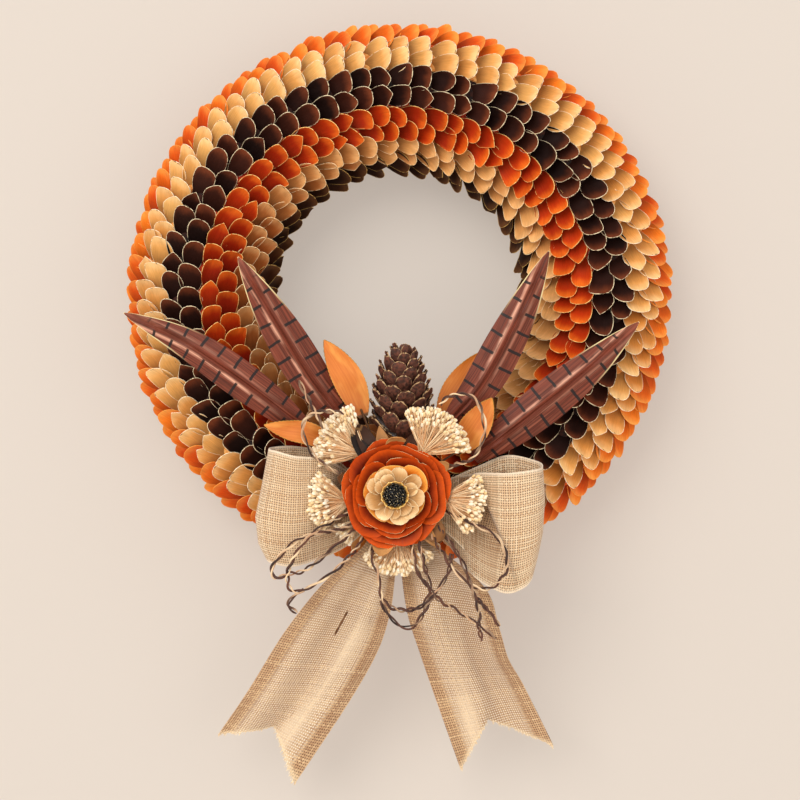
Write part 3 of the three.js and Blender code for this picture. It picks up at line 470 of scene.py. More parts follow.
# Meshes
class Form:
    """The points and faces of one piece, with the lay and tone of each point."""

    def __init__(self):
        self.points, self.lays, self.tones = [], [], []
        self.faces, self.slots = [], []
        self.count = 0

    def add_points(self, points, lay, tone):
        points = points.reshape(-1, 3)
        self.points.append(points)
        for values, kept in ((lay, self.lays), (tone, self.tones)):
            kept.append(np.broadcast_to(np.asarray(values, float).reshape(-1, 3), points.shape))
        start = self.count
        self.count += len(points)
        return start

    def add_faces(self, faces, slot):
        faces = np.asarray(faces).tolist()
        self.faces += faces
        self.slots += [slot] * len(faces)

    def shell(self, grid, lay, tone, wrap_rows=False, slot=0):
        """A skin over a grid of points, closed round its rows, with flat caps."""
        rows, columns = grid.shape[:2]
        start = self.add_points(grid, lay, tone)
        index = start + np.arange(rows * columns).reshape(rows, columns)
        here = index if wrap_rows else index[:-1]
        up = np.roll(index, -1, 0) if wrap_rows else index[1:]
        self.add_faces(stack(here, up, np.roll(up, -1, 1), np.roll(here, -1, 1)).reshape(-1, 4), slot)
        if not wrap_rows:
            self.add_faces([index[0], index[-1][::-1]], slot)

    def sheet(self, grid, thickness, lay, tone, slots=(0, 0, 0), wrap=False):
        """A sheet of some thickness through a grid of points, front, back and rim."""
        rows, columns = grid.shape[:2]
        along = np.roll(grid, -1, 0) - np.roll(grid, 1, 0) if wrap else np.gradient(grid, axis=0)
        normal = unit(np.cross(along, np.gradient(grid, axis=1)))
        offset = normal * (np.broadcast_to(thickness, (rows, columns))[..., None] / 2)
        front = self.add_points(grid + offset, lay, tone)
        back = self.add_points(grid - offset, lay, tone)
        index = np.arange(rows * columns).reshape(rows, columns)
        if wrap:
            index = np.vstack([index, index[:1]])
        here, up = index[:-1], index[1:]
        quads = stack(here[:, :-1], up[:, :-1], up[:, 1:], here[:, 1:]).reshape(-1, 4)
        self.add_faces(quads + front, slots[0])
        self.add_faces(quads[:, ::-1] + back, slots[1])
        rims = [index[:, 0][::-1], index[:, -1]]
        if not wrap:
            rims += [index[0], index[-1][::-1]]
        for rim in rims:
            first, second = rim[:-1], rim[1:]
            self.add_faces(stack(second + front, first + front, first + back, second + back), slots[2])

    def tube(self, path, radius, sides, lay_seed=0.0, tone=(0, 0, 0), slot=0):
        """A round stem along a path, tapered by a radius for each point."""
        path = np.asarray(path, float)
        tangent = unit(np.gradient(path, axis=0))
        side = np.cross(tangent[0], (0.31, 0.42, 0.85))
        sides_at = []
        for direction in tangent:
            side = unit(side - direction * side.dot(direction))
            sides_at.append(side)
        angle = (np.arange(sides) * tau / sides)[:, None]
        outward = np.array(sides_at)[:, None] * np.cos(angle)
        outward = outward + np.cross(tangent, sides_at)[:, None] * np.sin(angle)
        grid = path[:, None] + outward * np.broadcast_to(radius, len(path))[:, None, None]
        lay = stack(angle[:, 0] * 0.001, lengths(path)[:, None], lay_seed)
        self.shell(grid, lay, tone, slot=slot)

    def piece(self, name, materials, slot, nodes):
        """Makes the object, which rides on the wreath and stands for the nodes."""
        mesh = bpy.data.meshes.new(name)
        mesh.from_pydata(np.concatenate(self.points).tolist(), [], self.faces)
        for key, values in (("lay", self.lays), ("tone", self.tones)):
            attribute = mesh.attributes.new(key, "FLOAT_VECTOR", "POINT")
            attribute.data.foreach_set("vector", np.concatenate(values).astype(np.float32).ravel())
        for material in materials:
            mesh.materials.append(material)
        mesh.polygons.foreach_set("material_index", self.slots)
        mesh.shade_smooth()
        mesh.set_sharp_from_angle(angle=radians(50))
        mesh.update()
        made = bpy.data.objects.new(name, mesh)
        bpy.context.scene.collection.objects.link(made)
        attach(made, "root")
        if nodes:
            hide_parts(*nodes)
        return made


def smooth_path(points, step):
    """Points at an even step on a smooth curve through the given ones."""
    points = np.asarray(points, float)
    ends = np.vstack([2 * points[0] - points[1], points, 2 * points[-1] - points[-2]])
    a, b, c, d = ends[:-3, None], ends[1:-2, None], ends[2:-1, None], ends[3:, None]
    t = np.linspace(0, 1, 12, endpoint=False)[:, None]
    curve = 0.5 * (2 * b + (c - a) * t + (2 * a - 5 * b + 4 * c - d) * t ** 2
                   + (3 * b - a - 3 * c + d) * t ** 3)
    curve = np.vstack([curve.reshape(-1, points.shape[1]), points[-1]])
    length = lengths(curve)
    places = np.linspace(0, length[-1], max(2, round(length[-1] / step) + 1))
    return np.stack([np.interp(places, length, column) for column in curve.T], 1)


# The ring: a straw core and its six bands of shavings
def ring_point(turn, lift, reach):
    """Turn runs anticlockwise from +X as seen from the front. Lift runs round the ring's
    section from its outer side, 0, over the front, a quarter turn, to its inner side."""
    radius = RING_RADIUS + reach * np.cos(lift)
    return stack(radius * np.cos(turn), -CORE_DEPTH - reach * np.sin(lift),
                 RING_CENTRE_Z + radius * np.sin(turn))


# A band has its first and last lift, its rows, its shavings' width and their colours, dark,
# light, painted glow, rim and fleck. A row is its lift, its count and how far the shavings'
# outer side is raised, as each row overlaps the row behind it. A band's paleness is how far its
# shavings' tones are spread, the least tone, and the painted light and shade added at the right
# and at the top of the ring.
EVENLY = (1, 0, 0, 0)
BANDS = [
    ("orange", (-10, 30), [(5, 72, 44), (23, 72, 33)], 30,
     (0xDE4E06, 0xFC841A, 0xFFAA4C, 0xF0AA50, None), EVENLY),
    ("cream", (29, 65), [(41, 69, 24), (58, 67, 17)], 25,
     (0xDA8A3C, 0xF8C070, 0xFFD89A, 0xFFF2D4, 0x7A4E1A), (0.5, 0.17, -0.17, 0.17)),
    ("brown", (64, 97), [(74, 65, 13), (91, 63, 8)], 24.2,
     (0x140604, 0x3E1A0F, 0x7A3C22, 0xFFEEC6, None), EVENLY),
    ("rust", (96, 128), [(108, 60, 1), (122, 56, -7)], 22.5,
     (0x8E1C04, 0xCA3A08, 0xF07420, 0xFFD484, None), (0.6, 0.2, 0.2, 0)),
    ("tan", (127, 154), [(136, 46, -14), (148, 44, -19)], 22.5,
     (0x9E4E1E, 0xECAE66, 0xF6C080, 0xFFE8BA, 0x8A5E28), (0.4, 0.3, 0.3, 0)),
    ("inner_brown", (153, 188), [(161, 40, -25), (175, 38, -34)], 22.5,
     (0x180904, 0x3E1E0E, 0x664024, 0xC49E5A, None), EVENLY),
]
OUTWARD_RIGHT, OUTWARD_LEFT = 5.5, 11.0
BACKING_SINK, FOOT_SINK = 0.0025, 0.0035
BACKING_THICKNESS = 0.002
FLAT_ROW_RISE = 0.0018
PETAL_SHARES = np.array([0, 0.14, 0.28, 0.42, 0.55, 0.67, 0.78, 0.88, 0.955, 1.0])
PETAL_SIDES = np.array([-1, -0.93, -0.72, -0.4, 0, 0.4, 0.72, 0.93, 1])
PETAL_THICKNESS = 0.0006
RIM_SHARE = 0.86


def spoon(length, width, rise, cup, blunt, foot, widest, shares=PETAL_SHARES, lean=0.0, square=2.0):
    """A spoon-shaped blade: along, side and height of each point, and its edge nearness."""
    share = shares[:, None]
    beyond = np.clip((share - widest) / (1.0 - widest), 0, 1)
    half = width / 2 * (foot + (1 - foot) * np.sin(np.clip(share / widest, 0, 1) * pi / 2))
    side = half * np.maximum(1 - beyond ** square, 0.012) ** blunt * PETAL_SIDES
    along = np.repeat(share * length, len(PETAL_SIDES), 1)
    place = side / (width / 2)
    height = rise * (0.5 * share + 0.2 * share ** 2 + 0.3 * share ** 4)
    height = height + cup * place ** 2 * (1 + lean * place) * (0.4 + 0.6 * share)
    edge = np.minimum(np.maximum(np.abs(PETAL_SIDES) ** 3, share ** 8), RIM_SHARE)
    edge[-1] = edge[:, 0] = edge[:, -1] = 1
    return along, side, height, edge


def laid(along, side, edge, length, seed, chance):
    """Lay and tone of a blade's points."""
    return stack(side, along, seed), stack(edge, along / length, chance)


def near_knot(grid):
    close = np.hypot(grid[..., 0] - KNOT.x, grid[..., 2] - KNOT.z) < KNOT_RADIUS + 0.004
    return bool((close & (grid[..., 1] < -CORE_DEPTH)).any())


def tip_shape(random, round_only):
    """How blunt and how square a tip is: pointed, squared off or round."""
    kind = 1 if round_only else random.random()
    if kind < 0.16:
        return random.uniform(0.7, 0.95), random.uniform(1.2, 1.6)
    if kind < 0.56:
        return random.uniform(0.3, 0.42), random.uniform(2.8, 4.2)
    return random.uniform(0.36, 0.5), 2.0


def band_lift(turn, lift):
    """The bands lie further out at the right, and more so at the left, than at the top."""
    outward = OUTWARD_RIGHT * np.maximum(0, np.cos(turn)) ** 2
    outward = outward + OUTWARD_LEFT * np.maximum(0, -np.cos(turn)) ** 2
    return lift - np.radians(outward) * np.sin(lift)


def band_of_shavings(name, edges, rows, width, shades, paleness_and_painted_light, random):
    form = Form()
    turns = np.linspace(0, tau, 144, endpoint=False)[:, None]
    lifts = np.radians(np.linspace(*edges, 7))
    backing = ring_point(turns, band_lift(turns, lifts), SKIN_REACH - BACKING_SINK)
    form.sheet(backing, BACKING_THICKNESS, (0, 0, 0), (0, 0.1, 0.1), slots=(2, 2, 2), wrap=True)
    spread, least, right, top = paleness_and_painted_light
    for row, (row_lift, count, raised) in enumerate(rows):
        radius = RING_RADIUS + 0.070 * cos(radians(row_lift))
        reach = SKIN_REACH - FOOT_SINK + (FLAT_ROW_RISE if abs(raised) < 3 else 0)
        for i in range(count):
            turn = (i + 0.5 * row + random.uniform(-0.14, 0.14)) * tau / count
            lift = band_lift(turn, radians(row_lift))
            behind_bow = row_lift < 10 and sin(turn) < -0.95
            small, low = (0.7, 0.6) if behind_bow else (1, 1)
            run = random.uniform(27, 31) * MM * small
            wide = width * random.uniform(0.85, 1.06) * MM * small
            blunt, square = tip_shape(random, name == "orange")
            along, side, height, edge = spoon(
                run, wide, random.uniform(18.2, 19.6) * MM * low, random.uniform(3.0, 4.0) * MM,
                blunt, 0.42, random.uniform(0.52, 0.68), lean=-0.5 * np.sign(raised), square=square)
            beyond = np.clip(along / run - 0.5, 0, 1)
            swing = side + random.uniform(-0.07, 0.07) * (along - 0.5 * run)
            swing = swing + random.uniform(-0.7, 0.7) * wide * beyond ** 2
            height = height + random.uniform(-0.5, 0.9) * MM * np.sin(side / wide * 9 + i) * beyond
            slant = lift + radians(raised) + random.uniform(-0.03, 0.03)
            place = lift + random.uniform(-0.012, 0.012)
            spin = turn - along / radius
            out = height * cos(slant) - swing * sin(slant)
            forward = height * sin(slant) + swing * cos(slant)
            grid = ring_point(spin, place, reach) + stack(out * np.cos(spin), -forward, out * np.sin(spin))
            if near_knot(grid):
                continue
            # A random tone, with painted light and shade added by the side of the ring, as the light falls
            # on each side differently.
            chance = spread * random.random() + least + right * cos(turn) + top * sin(turn)
            lay, tone = laid(along, side, edge, run, random.uniform(0, 40), chance)
            form.sheet(grid, PETAL_THICKNESS, lay, tone, slots=(0, 0, 1))
    dark, light, _, rim, _ = shades
    materials = [shaving_finish(f"{name} shaving", *shades, worn_rim=0.35 if name == "orange" else 0.75),
                 cut_finish(f"{name} shaving edge", rim, light),
                 plain_finish(f"{name} backing", dark, light, 300, 0.9)]
    nodes = [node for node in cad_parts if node.startswith(f"{name}_petals_")]
    return form.piece(f"{name}_shavings", materials, name, nodes)


random = Random(5)
for band in BANDS:
    band_of_shavings(*band, random)


def straw_core():
    form = Form()
    lift = np.linspace(-CORE_EDGE, pi + CORE_EDGE, 40)
    turn = np.linspace(0, tau, 180, endpoint=False)[:, None]
    lay = stack(lift * CORE_RADIUS, turn * RING_RADIUS, 0)
    form.shell(ring_point(turn, lift, CORE_RADIUS - 0.0004), lay, (0, 0, 0), wrap_rows=True)
    return form.piece("straw_ring", [straw_finish()], "straw", ["ring_core"])


straw_core()


TWINE_RADIUS = 0.0006
TWINE_TURNS = 30


def twine_windings():
    """Thread wound round the ring's bare back to bind the straw."""
    form = Form()
    lift = np.append(np.linspace(-0.15, -CORE_EDGE, 10), np.linspace(pi + CORE_EDGE, pi + 0.15, 10))
    lean = 0.10 * (lift - lift[0]) / (lift[-1] - lift[0])
    for i in range(TWINE_TURNS):
        path = ring_point((i + 0.5) * tau / TWINE_TURNS + lean, lift, CORE_RADIUS + 0.0004)
        path[:, 1] = np.minimum(path[:, 1], -TWINE_RADIUS)
        form.tube(smooth_path(path, 0.003), TWINE_RADIUS, 6, lay_seed=i, tone=(0, 0, 0.5))
    return form.piece("binding_thread", [plain_finish(
        "binding thread", 0x8C7350, 0xB59C74, 900, 0.8)], "straw", [])


twine_windings()


def hanging_wire():
    """A loop of wire in the ring's back, for a nail."""
    radius, wire, depth, foot = 0.010, 0.0012, 0.005, -0.028
    top = -radius + wire
    knee = (foot + top) / 2
    arc = [(radius * cos(radians(a)), -depth, top + radius * sin(radians(a)))
           for a in range(180, -1, -15)]
    points = [(-radius, -depth, foot), (-radius, -depth, knee), *arc,
              (radius, -depth, knee), (radius, -depth, foot)]
    form = Form()
    form.tube(smooth_path(points, 0.0015), wire, 14)
    return form.piece("hanging_wire", [plain_finish(
        "drawn wire", 0x8E8E8C, 0xA8A8A4, 500, 0.35, metallic=0.9)], "steel", ["hanging_loop"])


hanging_wire()


# The bow: stations of a loop are [across, depth, top, bottom]
LEFT_LOOP = [
    (376, 138, 488, 519), (352, 143, 474, 543), (325, 157, 459, 558), (292, 171, 456, 567),
    (267, 168, 451, 565), (256, 155, 449, 560), (262, 141, 447, 556), (290, 134.5, 446, 552),
    (325, 133, 452, 543), (352, 133, 472, 525), (376, 133, 488, 507),
]
RIGHT_LOOP = [
    (414, 138, 490, 507), (448, 145, 480, 545), (475, 158, 473, 578), (507, 173, 473, 594),
    (532, 170, 470, 588), (542, 157, 467, 575), (537, 143, 461, 570), (507, 135, 455, 572),
    (478, 133, 466, 562), (448, 133, 479, 534), (414, 133, 490, 507),
]
LEFT_FOLD = (352, 452), (312, 545)
RIGHT_FOLD = (474, 480), (506, 554)
RIGHT_FOLD_FOOT = seen(500, 585, 0)[2]
RIBBON_WIDTH = 0.114
CLOTH_THICKNESS = 0.0013
WEAVE = burlap_finish("burlap", 0xD0A87E, 0xEED6B2, 0x66462A, 0.00238)
WEAVE_OPEN = burlap_finish("burlap over the wall", 0xB28862, 0xE4C296, 0x644226, 0.00262, 0.9)


def ribbon(grid, seed, cut_end=False):
    """Lay and tone of a ribbon's grid of points."""
    rows, columns = grid.shape[:2]
    across = np.linspace(-0.5, 0.5, columns)
    share = np.linspace(0, 1, rows)[:, None] if cut_end else np.full((rows, 1), 0.5)
    lay = stack(across * RIBBON_WIDTH, lengths(grid[:, columns // 2])[:, None], seed)
    return lay, stack(np.abs(across * 2) ** 3, share, 0.5)


def ribbon_size(grid):
    """A ribbon's length along its middle, and the area that its shape has."""
    down, across = grid[1:, :-1] - grid[:-1, :-1], grid[:-1, 1:] - grid[:-1, :-1]
    area = float(np.linalg.norm(np.cross(down, across), axis=2).sum())
    return lengths(grid[:, grid.shape[1] // 2])[-1], area


def bow_loop(name, stations, seed, pleat, outer, bulge):
    """A loop whose outer end is at the place across of its furthest station. Its bulge is how
    far it bows to the right there, in steps of the view, from its top to its bottom."""
    path = smooth_path(stations, 2.2)
    across, depth, top, bottom = path.T[..., None]
    share = np.linspace(0, 1, 61)
    along = np.linspace(0, 1, len(path))[:, None]
    grid = seen(across, top + (bottom - top) * share, -depth * MM)
    away = np.hypot(grid[..., 0] - KNOT.x, grid[..., 2] - KNOT.z)
    gather = np.clip((away - 0.025) / 0.06, 0, 1)
    pucker = 0.0022 * np.sin(share * tau * 3.5 + seed) * (1 - gather) ** 1.5
    wobble = 0.0012 * np.sin(share * 5 + along * 9 + seed) * gather
    grid[..., 1] += pucker + wobble
    sunk = pleat(grid, along)
    grid += sunk
    front = np.clip((0.5 - along) / 0.08, 0, 1)
    grid[..., 1] += 0.013 * np.clip((share - 0.55) / 0.45, 0, 1) ** 1.7 * front * gather
    near = np.clip(1 - np.abs(across - outer) / 60, 0, 1) ** 1.5
    grid[..., 0] += near * np.interp(share, (0, 0.3, 0.62, 0.85, 1), bulge) * VIEW_STEP
    lay, tone = ribbon(grid, seed)
    # Painted shade: the tone is lowered where the front wall sinks into its pleat, less so lower down, and
    # near the knot.
    tone[..., 2] -= 0.38 * np.clip(sunk[..., 1] / 0.015, 0, 1) * (1.0 - 0.95 * share)
    tone[..., 2] -= 0.2 * (1 - gather) * front
    form = Form()
    form.sheet(grid, CLOTH_THICKNESS, lay, tone)
    piece = form.piece(name, [WEAVE], "burlap", [name])
    length, area = ribbon_size(grid)
    return piece


def beyond_line(grid, start, end):
    """How far each point of a loop is to the right of a slanting line, seen at its front."""
    start, end = seen(*start, -0.16), seen(*end, -0.16)
    slope = (end[0] - start[0]) / (end[2] - start[2])
    return grid[..., 0] - start[0] - (grid[..., 2] - start[2]) * slope


def right_pleat(grid, along):
    """The front wall steps back along a slanting fold, and runs in under it a little."""
    off = beyond_line(grid, *RIGHT_FOLD)
    front = np.clip((0.5 - along) / 0.05, 0, 1)
    near = np.clip((grid[..., 0] - KNOT.x - 0.02) / 0.03, 0, 1)
    fade = np.clip((grid[..., 2] - RIGHT_FOLD_FOOT) / 0.05, 0.1, 1)
    depth = front * near * fade / (1 + np.exp(off / 0.0011))
    under = depth * np.exp(-(off / 0.007) ** 2)
    return stack(0.006 * under, 0.017 * depth, 0)


def left_pleat(grid, along):
    """The front wall sinks softly towards the knot."""
    off = beyond_line(grid, *LEFT_FOLD)
    front = np.clip((0.5 - along) / 0.05, 0, 1)
    near = np.clip((KNOT.x - 0.02 - grid[..., 0]) / 0.03, 0, 1)
    return stack(0, 0.015 * front * near / (1 + np.exp(-off / 0.0040)), 0)


LEFT_END, RIGHT_END = 256, 542
bow_loop("bow_loop_left", LEFT_LOOP, 1.0, left_pleat, LEFT_END, (13, 7, 0, 3, 11))
bow_loop("bow_loop_right", RIGHT_LOOP, 4.0, right_pleat, RIGHT_END, (0, 2, 0, -5, -9))


# A tail's stations are its left edge, its right edge and its depth, from the knot down
LEFT_TAIL = [
    ((380, 512), (396, 516), 138), ((366, 543), (396, 560), 140), ((342, 566), (394, 584), 136),
    ((316, 592), (390, 612), 128), ((283, 635), (378, 650), 112), ((250, 688), (350, 700), 94),
    ((218, 735), (295, 783), 78),
]
RIGHT_TAIL = [
    ((398, 514), (412, 512), 136), ((400, 550), (440, 548), 138), ((402, 577), (485, 588), 134),
    ((408, 616), (499, 628), 125), ((420, 654), (508, 658), 111), ((436, 700), (524, 686), 95),
    ((461, 770), (553, 745), 79),
]
LEFT_NOTCH, RIGHT_NOTCH = (274, 727), (488, 719)
NOTCH_ROWS = 25
LOOSE_THREADS = 150


def tail_fold(across, along, seed):
    """Soft lengthwise folds that open towards the cut end."""
    wave = 6.6 * np.sin(across * 5.2 + seed + 0.5 * np.sin(along * 5))
    wave = wave + 1.3 * np.sin(across * 9.5 + seed * 2 + along * 2.6)
    wave = wave + 0.9 * np.sin(across * 15 + along * 7 + seed)
    return -wave * MM * np.clip(along * 2.6, 0, 1) ** 0.8


def bow_tail(name, stations, notch, seed, folds, slub=None):
    """A tail whose cut end is drawn up to its notch. A fold is its place across, the share of
    the way down where it starts, and its amount of painted light, which is painted shade
    where it is below 0. A slub is the first row, last row and column of a coarse thread."""
    path = smooth_path([(*left, *right, depth) for left, right, depth in stations], 4.5)
    share = np.linspace(0, 1, 37)
    down = np.linspace(0, 1, len(path))[:, None]
    left, left_down, right, right_down, depth = path.T[..., None]
    grid = seen(left + (right - left) * share, left_down + (right_down - left_down) * share, -depth * MM)
    centre = (path[:, :2] + path[:, 2:4]) / 2
    onward = unit(centre[-1] - centre[-12])
    crosswise = np.array([onward[1], -onward[0]])
    drawn = np.clip(np.arange(-len(path), 0) / NOTCH_ROWS + 1 + 1 / NOTCH_ROWS, 0, 1)[:, None] ** 1.5
    toward = 1 - np.abs(2 * share - 1)
    pulled = (notch - centre[-1]) * (toward * drawn)[..., None] * VIEW_STEP
    lay, tone = ribbon(grid, seed, cut_end=True)
    # Painted shade, darker towards the knot.
    tone[..., 2] -= 0.24 * (1 - down)
    # Painted light along fold ridges and painted shade in fold valleys.
    for place, start, amount in folds:
        reach = np.clip((down - start) * 3, 0, 1) * (0.85 + 0.15 * np.sin(down * 16))
        off = share - place - 0.04 * np.sin(down * 5)
        tone[..., 2] += amount * np.exp(-(off / 0.12) ** 2) * reach
    lay[..., :2] += pulled @ stack(crosswise, onward)
    grid += stack(pulled[..., 0], tail_fold(share * 2 - 1, down, seed), -pulled[..., 1])
    columns = np.arange(len(share))
    grid[-1, :, 2] += 0.0008 * np.sin(columns * 2.7 + seed) + 0.0005 * np.sin(columns * 7.1)
    form = Form()
    form.sheet(grid, CLOTH_THICKNESS, lay, tone)
    piece = form.piece(name, [WEAVE_OPEN], "burlap", [name])
    fringe = frayed_edge(name, grid, seed, slub)
    length, area = ribbon_size(grid)
    return piece


def frayed_edge(name, grid, seed, slub):
    """Short loose threads at the cut end, and perhaps a coarse dark thread in the weave."""
    random = Random(int(abs(seed) * 10))
    form = Form()
    if slub:
        first, last, column = slub
        path = grid[first:last, column] + (0, -0.0007, 0)
        thick = 0.0009 + 0.0004 * np.sin(np.arange(len(path)) * 1.9)
        thick[[0, -1]] = 0.0003
        form.tube(path, thick, 8, slot=1)
    edge = grid[-1]
    back = grid[-3]
    for _ in range(LOOSE_THREADS):
        place = random.uniform(0, len(edge) - 1.001)
        k, part = int(place), place % 1
        point = edge[k] * (1 - part) + edge[k + 1] * part
        root = back[k] * (1 - part) + back[k + 1] * part
        out = unit(point - root)
        sway = anywhere(random)
        start = point - out * 0.002
        tip = point + (out + sway * 0.5) * random.uniform(1.2, 3.4) * MM
        middle = (start + tip) / 2 + sway * 0.0004
        form.tube([start, middle, tip], [0.00035, 0.0003, 0.0002], 4, tone=(0, 0, random.random()))
    return form.piece(f"{name}_fray", [
        plain_finish(f"{name} loose thread", 0xE2C598, 0xF6E6C6, 600, 0.9),
        plain_finish(f"{name} coarse thread", 0x4A2C18, 0x7A5232, 500, 0.9)], "burlap", [])


bow_tail("bow_tail_left", LEFT_TAIL, LEFT_NOTCH, -1.57, [(0.68, 0.15, 0.5), (0.42, 0.0, -0.14)],
         slub=(36, 46, 18))
bow_tail("bow_tail_right", RIGHT_TAIL, RIGHT_NOTCH, 2.9, [(0.33, 0.45, 0.5), (0.62, 0.0, -0.24)])


WRAP_RADIUS = 0.0285
WRAP_BACK, WRAP_FRONT = 0.1125, KNOT_FRONT - 0.0015


def knot_wrap():
    """The ribbon's gathered middle, wound round behind the flower."""
    form = Form()
    around = np.linspace(0, tau, 120, endpoint=False)[:, None]
    share = np.linspace(0, 1, 14)
    radius = WRAP_RADIUS + 0.0016 * np.sin(around * 17 + share * 1.5) - 0.004 * share ** 3
    grid = knot_point(around, radius, np.linspace(WRAP_BACK, WRAP_FRONT, 14))
    lay = stack(share * 0.04, around * 0.03, 0)
    form.sheet(grid, CLOTH_THICKNESS, lay, (0, 0.5, 0.5), wrap=True)
    piece = form.piece("knot_wrap", [WEAVE], "burlap", ["bow_knot"])
    return piece


knot_wrap()


# Feathers and veneer leaves: width, entry at the knot, and from the foot of the blade to its
# tip [across, down], depth
FEATHERS = [
    ("feather_left_low", 37, (146, 134), [
        ((310, 432), 137), ((255, 390), 146), ((190, 345), 142), ((124, 313), 128)]),
    ("feather_left_high", 41, (122, 134), [
        ((348, 425), 137), ((311, 378), 146), ((272, 315), 150), ((238, 257), 152)]),
    ("feather_right_high", 39, (52, 134), [
        ((446, 426), 137), ((482, 384), 146), ((518, 318), 150), ((549, 251), 152)]),
    ("feather_right_low", 41, (24, 134), [
        ((474, 458), 138), ((530, 415), 146), ((588, 368), 146), ((639, 322), 134)]),
]
VENEER_LEAVES = [
    ("veneer_leaf_1", 30, (112, 142), [
        ((364, 417), 148), ((351, 385), 155), ((338, 362), 158), ((324, 340), 160)]),
    ("veneer_leaf_2", 22, (154, 143), [
        ((336, 446), 147), ((310, 434), 153), ((288, 430), 156), ((264, 425), 158)]),
    ("veneer_leaf_3", 27, (64, 133), [
        ((440, 421), 131.5), ((453, 395), 132), ((467, 373), 133), ((481, 352), 134)]),
    ("veneer_leaf_4", 30, (37, 141), [
        ((456, 452), 148), ((470, 434), 155), ((482, 416), 158), ((492, 398), 160)]),
]
BLADE_THICKNESS = 0.0009
STEM_RADIUS = 0.0011
TOOTH_STEP = 0.0022
RELIEF_HALF = 0.008


def blade_half_width(share, blunt):
    """Half of a lance-shaped blade's width, from its foot, 0, to its tip, 1."""
    return np.sin(pi * np.clip(share * 0.955 + 0.045, 0, 1) ** blunt) ** 0.78


def long_blade(name, width, entry, route, relief, teeth, blunt, finishes, slot):
    """A stemmed blade whose face is raised by relief, less where it is narrow."""
    points = smooth_path([seen(*place, -depth * MM) for place, depth in route], 0.0014)
    along = lengths(points)[:, None]
    share = along / along[-1]
    tangent = unit(np.gradient(points, axis=0))
    across = unit(np.cross((0, 1, 0), tangent))
    face = np.cross(tangent, across)
    face *= -np.sign(face[:, 1:2])
    half = width / 2 * MM * blade_half_width(share, blunt)
    half = half + teeth * np.abs(along / TOOTH_STEP % 1 - 0.5) * np.clip(half / 0.006, 0, 1)
    half = np.maximum(half, 0.0005)
    t = np.linspace(-1, 1, 25)
    t = np.sign(t) * np.abs(t) ** 0.9
    side = half * t
    lift = relief(side, share, t) * np.clip(half / RELIEF_HALF, 0, 1)
    grid = points[:, None] + across[:, None] * side[..., None] + face[:, None] * lift[..., None]
    edge = np.maximum(np.where(np.abs(t) > 0.999, 1.0, t ** 2 * 0.75), share > 0.995)
    form = Form()
    form.sheet(grid, BLADE_THICKNESS, stack(side, along, len(name) * 0.7), stack(edge, share, t),
               slots=(0, 0, 1))
    root, foot = knot_entry(*entry), points[0]
    stem = smooth_path([root, (root + foot) / 2, foot, points[6]], 0.002)
    form.tube(stem, STEM_RADIUS, 8, tone=(0, 0, 0.5))
    return form.piece(name, finishes, slot, [name])


def feather_relief(side, share, t):
    """A double rib along the middle, and halves that arch a little."""
    rib = 0.0022 * np.exp(-((np.abs(side) - 0.0024) / 0.0012) ** 2)
    rib += 0.0010 * np.exp(-(np.abs(side) / 0.0060) ** 2)
    return rib + 0.0030 * (1 - t ** 2)


def leaf_relief(side, share, t):
    """A shallow trough with a slight ripple."""
    return -0.0022 * (1 - t ** 2) + 0.0004 * np.sin(share * 16 + t * 2)


FEATHER_FINISHES = [feather_finish(), cut_finish("feather edge", 0xC9A878, 0x7A4C3C)]
LEAF_FINISHES = [veneer_finish(), cut_finish("veneer edge", 0xB08A3E, 0x4E3A1A)]
for blade in FEATHERS:
    long_blade(*blade, feather_relief, 0, 0.86, FEATHER_FINISHES, "feather")
for blade in VENEER_LEAVES:
    long_blade(*blade, leaf_relief, 0.0012, 0.93, LEAF_FINISHES, "veneer")

# The pine cone: the reach of its scale tips at each share of its height
CONE_FOOT = Vector(seen(402, 430, -0.140))
CONE_HEIGHT = 0.087
CONE_SHARES = (0.0, 0.15, 0.32, 0.5, 0.65, 0.8, 0.93, 1.0)
CONE_REACHES = (25, 30, 32, 31, 27, 21.5, 16, 9)
CONE_SCALES = 68
GOLDEN_ANGLE = radians(137.508)


